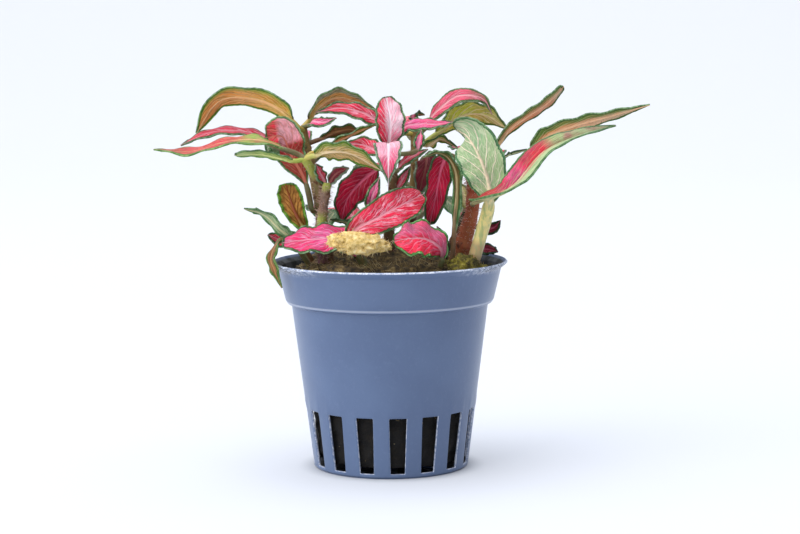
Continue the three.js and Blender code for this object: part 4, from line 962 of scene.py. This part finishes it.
def rimMaterial():
    # the cut edges of the slots are painted pale, a painted highlight on faces that lie in shade; the lip's
    # top is scraped pale with wear, with dark scratches at the lip's two sides
    material, tree, shader = newMaterial("potRim")
    place = objectPlace(tree)
    x, y, z = split(tree, place)
    scuffsAndHighlight = remap(tree, noiseAt(tree, place, 1300, 5, 0.7), 0.4, 0.62)
    colour = mix(tree, scuffsAndHighlight, potLook["light"], potLook["worn"])
    scratch = remap(tree, noiseAt(tree, stretch(tree, place, 2.5), 1600, 4, 0.75), 0.52, 0.6)
    scratch = times(tree, scratch, remap(tree, calc(tree, "ABSOLUTE", x), 0.016, 0.022),
                    remap(tree, z, 0.04, 0.045))
    colour = mix(tree, scratch, colour, potLook["inside"])
    rough = remap(tree, scuffsAndHighlight, 0, 1, 0.4, 0.65)
    setSurface(tree, shader, colour, rough, calc(tree, "SUBTRACT", scuffsAndHighlight, scratch), 0.4, 0.1)
    return material


def insideMaterial():
    # painted shade: the inner wall is painted near black below the lip, so that the gap round the plug looks
    # black
    material, tree, shader = newMaterial("potInside")
    place = objectPlace(tree)
    shadeMottle = remap(tree, noiseAt(tree, place, 300, 5), 0.35, 0.65)
    aboveShade = remap(tree, split(tree, place)[2], 0.0476, 0.0479)
    colour = mix(tree, aboveShade, mix(tree, shadeMottle, potLook["inside"], "0e0d0e"), potLook["dark"])
    setSurface(tree, shader, colour, remap(tree, shadeMottle, 0, 1, 0.5, 0.8))
    return material


cutter = buildPot()
print("pot built")


# ---- rock wool ----
woolLook = dict(
    plugBottom=2.4, plugRadius=(16.9, 20.9), lean=-0.8, roughness=0.7, strands=1500, slotStrands=70,
    moss=4.6, bank=2.1,  # how far the moss rises behind the front leaves and along the front
    cushion=(16.8, -13, 46.8), cushionSize=(9.4, 6, 7.6), cushionStrands=320,
    plugColumns=96, strandReach=20.3, slotFoot=16.3, slotWiden=4.8, strandBend=0.6, strandRadius=(0.05, 0.1),
    tuftTilt=4, tuftStrands=520, tuftSize=(13, 4.6, 4.8), tuftCentre=(-6.7, -21.9, 54.3), tuftRoughness=0.3,
)


def woolMaterial(name, scale, *stops, isShadedBelow=False):
    material, tree, shader = newMaterial(name)
    place = objectPlace(tree)
    colour = ramp(tree, noiseAt(tree, place, scale, 6, 0.7), stops)
    if isShadedBelow:
        # painted shade: the plug's lower part, down inside the pot, is painted near black
        colour = mix(tree, remap(tree, split(tree, place)[2], 0.038, 0.045, 0.96, 0), colour, "0b0a0a")
    setSurface(tree, shader, colour, 0.95, noiseAt(tree, place, scale * 4, 5, 0.7), 1, 0.4)
    return material


def addStrand(bm, draw, foot, heading, length, material):
    turn = Vector([draw.gauss(0, woolLook["strandBend"]) for _ in range(3)])
    points = [foot]
    for k in range(3):
        heading = (heading + turn * 0.5).normalized()
        points.append(points[-1] + heading * length / 3)
    radius = draw.uniform(*woolLook["strandRadius"])
    addTube(bm, points, lambda t, angle: radius * (1 - 0.6 * t), 3, 5, material)


def mossRise(x, y):
    look = woolLook
    reach = math.hypot(x - look["lean"], y)
    behind = look["moss"] * smoothStep(y, -9, 5) * (1 - smoothStep(reach, 15, 20.5))
    bank = look["bank"] * smoothStep(-y, 7, 12) * smoothStep(reach, 12.5, 16.5)
    return behind + bank * (1 - smoothStep(reach, 18.8, 20.7))


def addBall(bm, subdivisions, spotAt, material=0):
    ball = bmesh.ops.create_icosphere(bm, subdivisions=subdivisions, radius=1)
    for vert in ball["verts"]:
        vert.co = spotAt(vert.co.normalized()) * mm
    paint(ball, material)


def buildPlug():
    draw = random.Random(5)
    bm = bmesh.new()
    look = woolLook
    low, high = look["plugRadius"]
    height = plugTop - look["plugBottom"]
    capRows, wallRows = 14, 44
    profile = [(low * k / capRows, 0) for k in range(capRows)]
    profile += [(low + (high - low) * k / wallRows, k / wallRows) for k in range(wallRows)]
    profile += [(high * (1 - k / capRows), 1) for k in range(capRows + 1)]
    size, middle = Vector(look["cushionSize"]) / 2, Vector(look["cushion"])

    def spotAt(row, turn):
        radius, t = profile[row]
        way = Vector((math.cos(turn), math.sin(turn), 0))
        spot = way * radius + Vector((look["lean"] * t, 0, look["plugBottom"] + t * height))
        rough = noise.fractal(spot * 0.35, 1, 2, 4) * look["roughness"]
        push = way if 0 < t < 1 or radius > low * 0.98 else Vector()
        if t == 1:
            push = push + Vector((0, 0, 1.6))
            spot.z += mossRise(spot.x, spot.y)
        return spot + push * rough * min(radius, 1)

    # a cushion of yellow moss at the foot of the big right leaf
    def cushionSpot(way):
        return middle + way * size * (1 + 0.35 * noise.fractal(way * 2.2, 1, 2, 4))

    def addTopStrand(batch):
        angle = draw.uniform(0, 2 * math.pi)
        radius = look["strandReach"] * math.sqrt(draw.uniform(0.1, 1))
        x, y = radius * math.cos(angle) + look["lean"], radius * math.sin(angle)
        foot = Vector((x, y, plugTop - 0.3 + mossRise(x, y)))
        heading = Vector((draw.gauss(0, 1), draw.gauss(0, 1), abs(draw.gauss(0, 0.45)))).normalized()
        addStrand(batch, draw, foot, heading, draw.uniform(1.4, 3.6), 1 + (draw.random() < 0.3))

    def addSlotStrand(batch):
        angle = draw.uniform(-math.pi, 0)
        z = draw.uniform(2.5, 15)
        radius = look["slotFoot"] + look["slotWiden"] * (z - 2.2) / 44
        foot = Vector((radius * math.cos(angle), radius * math.sin(angle), z))
        heading = Vector([draw.gauss(0, 1) for _ in range(3)]).normalized()
        addStrand(batch, draw, foot, heading, draw.uniform(0.8, 2), 1 + (draw.random() < 0.4))

    def addCushionStrand(batch):
        way = Vector((draw.gauss(0, 1), draw.gauss(0, 1), abs(draw.gauss(0, 1)))).normalized()
        heading = (way * 0.8 + Vector([draw.gauss(0, 0.7) for _ in range(3)])).normalized()
        addStrand(batch, draw, cushionSpot(way) - way * 0.3, heading, draw.uniform(0.6, 1.4),
                  3 if draw.random() < 0.6 else 1)

    rollGrid(bm, look["plugColumns"], len(profile) - 1, spotAt)
    addBall(bm, 4, cushionSpot, 3)
    addMany(bm, look["strands"], addTopStrand)
    addMany(bm, look["slotStrands"], addSlotStrand)
    addMany(bm, look["cushionStrands"], addCushionStrand)
    materials = [
        woolMaterial("mossDark", 700, (0.3, "151109"), (0.44, "392e1c"), (0.56, "67532f"), (0.7, "a08c5a"),
                     isShadedBelow=True),
        woolMaterial("mossStrand", 300, (0.35, "5a4828"), (0.6, "a08a5c")),
        woolMaterial("mossPaleStrand", 300, (0.35, "94805a"), (0.6, "cdb888")),
        woolMaterial("mossYellow", 600, (0.34, "2c260c"), (0.46, "5c5420"), (0.58, "8c802c"),
                     (0.7, "b8ac4c")),
    ]
    finishPiece("rockWoolPlug", bm, materials, slots["rock_wool_plug"], ["rock_wool_plug"], 180)


def buildTuft():
    draw = random.Random(9)
    bm = bmesh.new()
    look = woolLook
    size, centre = Vector(look["tuftSize"]) / 2, Vector(look["tuftCentre"])
    tilt = Matrix.Rotation(math.radians(look["tuftTilt"]), 3, "Y")

    def tuftSpot(way):
        rough = 1 + look["tuftRoughness"] * noise.fractal(way * 2.6, 1, 2, 5)
        return centre + tilt @ (way * size) * rough

    def addTuftStrand(batch):
        way = Vector([draw.gauss(0, 1) for _ in range(3)]).normalized()
        lean = Vector((draw.gauss(0, 1), draw.gauss(0, 0.6), draw.gauss(0, 0.5)))
        heading = (way * 0.35 + lean).normalized()
        addStrand(batch, draw, tuftSpot(way) - way * 0.4, heading, draw.uniform(0.8, 2), 1)

    addBall(bm, 5, tuftSpot)
    addMany(bm, look["tuftStrands"], addTuftStrand)
    materials = [
        woolMaterial("strawWool", 1000, (0.3, "80582a"), (0.4, "cca654"), (0.52, "f8d688"),
                     (0.68, "fff0bc")),
        woolMaterial("strawStrand", 500, (0.35, "dcb878"), (0.65, "fff0c0")),
    ]
    finishPiece("rockWoolTuft", bm, materials, slots["rock_wool_tuft"], ["rock_wool_tuft"], 180)


buildPlug()
buildTuft()
print("rock wool built")


# ---- floor, light and camera ----
light = dict(
    key=dict(place=(-1100, -800, 850), aim=(0, 0, 50), size=1300, power=13, colour="fffaf4"),
    top=dict(place=(-150, -100, 1900), aim=(0, 0, 50), size=1700, power=26, colour="ffffff"),
    fill=dict(place=(1100, -900, 700), aim=(0, 0, 50), size=1000, power=0.6, colour="f2f6ff"),
    back=dict(place=(200, 1000, 1500), aim=(0, 400, 100), size=1300, power=6, colour="ffffff"),
)
world = dict(colour="eaf1ff", front=0.56, back=1, left=0.8, behind="f8fbff", behindStrength=0.97)


def buildFloor():
    # a strip of paper that lies flat under the pot and curves up behind it
    length, front, flat, curve = 4.6, 1.6, 0.9, 1.1  # in metres
    bm = bmesh.new()
    grid = bmesh.ops.create_grid(bm, x_segments=8, y_segments=80, size=1)
    for vert in grid["verts"]:
        along = (vert.co.y + 1) / 2 * length - front
        bend = min(max(along - flat, 0) / curve, math.pi / 2)
        rest = max(along - flat - curve * math.pi / 2, 0)
        y = min(along, flat) + curve * math.sin(bend)
        vert.co = Vector((vert.co.x * 3, y, curve * (1 - math.cos(bend)) + rest))
    mesh = bpy.data.meshes.new("floor")
    bm.to_mesh(mesh)
    mesh.shade_smooth()
    floor = addObject("floor", mesh)
    # the paper glows outside the pot's foot, a painted light that keeps shadows pale; it does not glow under
    # the pot, so the shadow at the pot's base stays
    material, tree, shader = newMaterial("floorPaper", **{"Roughness": 0.9, "Emission Color": "f4f7ff"})
    place = objectPlace(tree)
    near = mix(tree, remap(tree, noiseAt(tree, place, 3), 0.3, 0.7), "a9acb2", "acafb5")
    fromPot = addNode(tree, "VectorMath", {0: place}, operation="LENGTH").outputs["Value"]
    away = remap(tree, split(tree, place)[1], -0.1, 1.2)
    fill(tree, shader, {
        "Base Color": mix(tree, away, near, "b1b3b4"),
        "Emission Strength": remap(tree, fromPot, 0.016, 0.0225, 0, 0.3),
    })
    mesh.materials.append(material)


def addLamp(name, look):
    lamp = bpy.data.lights.new(name, "AREA")
    lamp.energy = look["power"]
    lamp.size = look["size"] * mm
    lamp.color = rgb(look["colour"])[:3]
    holder = addObject(name, lamp)
    place, aim = Vector(look["place"]) * mm, Vector(look["aim"]) * mm
    holder.location = place
    holder.rotation_euler = (aim - place).to_track_quat("-Z", "Y").to_euler()
    return holder


def setWorld():
    sky = bpy.data.worlds.new("studio")
    scene.world = sky
    sky.use_nodes = True
    tree = sky.node_tree
    tree.nodes.clear()
    way = split(tree, addNode(tree, "TexCoord").outputs["Generated"])
    strength = calc(tree, "ADD", remap(tree, way[1], -0.9, 0.6, world["front"], world["back"]),
                    remap(tree, way[0], -1, 0.1, world["left"], 0))
    lit = addNode(tree, "Background", {"Color": world["colour"], "Strength": strength})
    seen = addNode(tree, "Background", {"Color": world["behind"], "Strength": world["behindStrength"]})
    path = addNode(tree, "LightPath").outputs["Is Camera Ray"]
    shown = addNode(tree, "MixShader", {0: path, 1: lit.outputs[0], 2: seen.outputs[0]})
    addNode(tree, "OutputWorld", {0: shown.outputs[0]})


def setCamera():
    look = dict(place=(2.43, -500, 101.8), pitch=0.110, roll=-0.008, lens=97.1)
    data = bpy.data.cameras.new("camera")
    data.lens = look["lens"]
    data.sensor_width = 36
    data.clip_start = 0.05
    data.clip_end = 20
    camera = addObject("camera", data)
    turn = Matrix.Rotation(math.pi / 2 - look["pitch"], 4, "X") @ Matrix.Rotation(look["roll"], 4, "Z")
    camera.matrix_world = Matrix.Translation(Vector(look["place"]) * mm) @ turn
    scene.camera = camera


buildFloor()
lamps = [addLamp(name, look) for name, look in light.items()]
setWorld()
setCamera()
scene.view_settings.view_transform = "Standard"
print("floor, light and camera set")
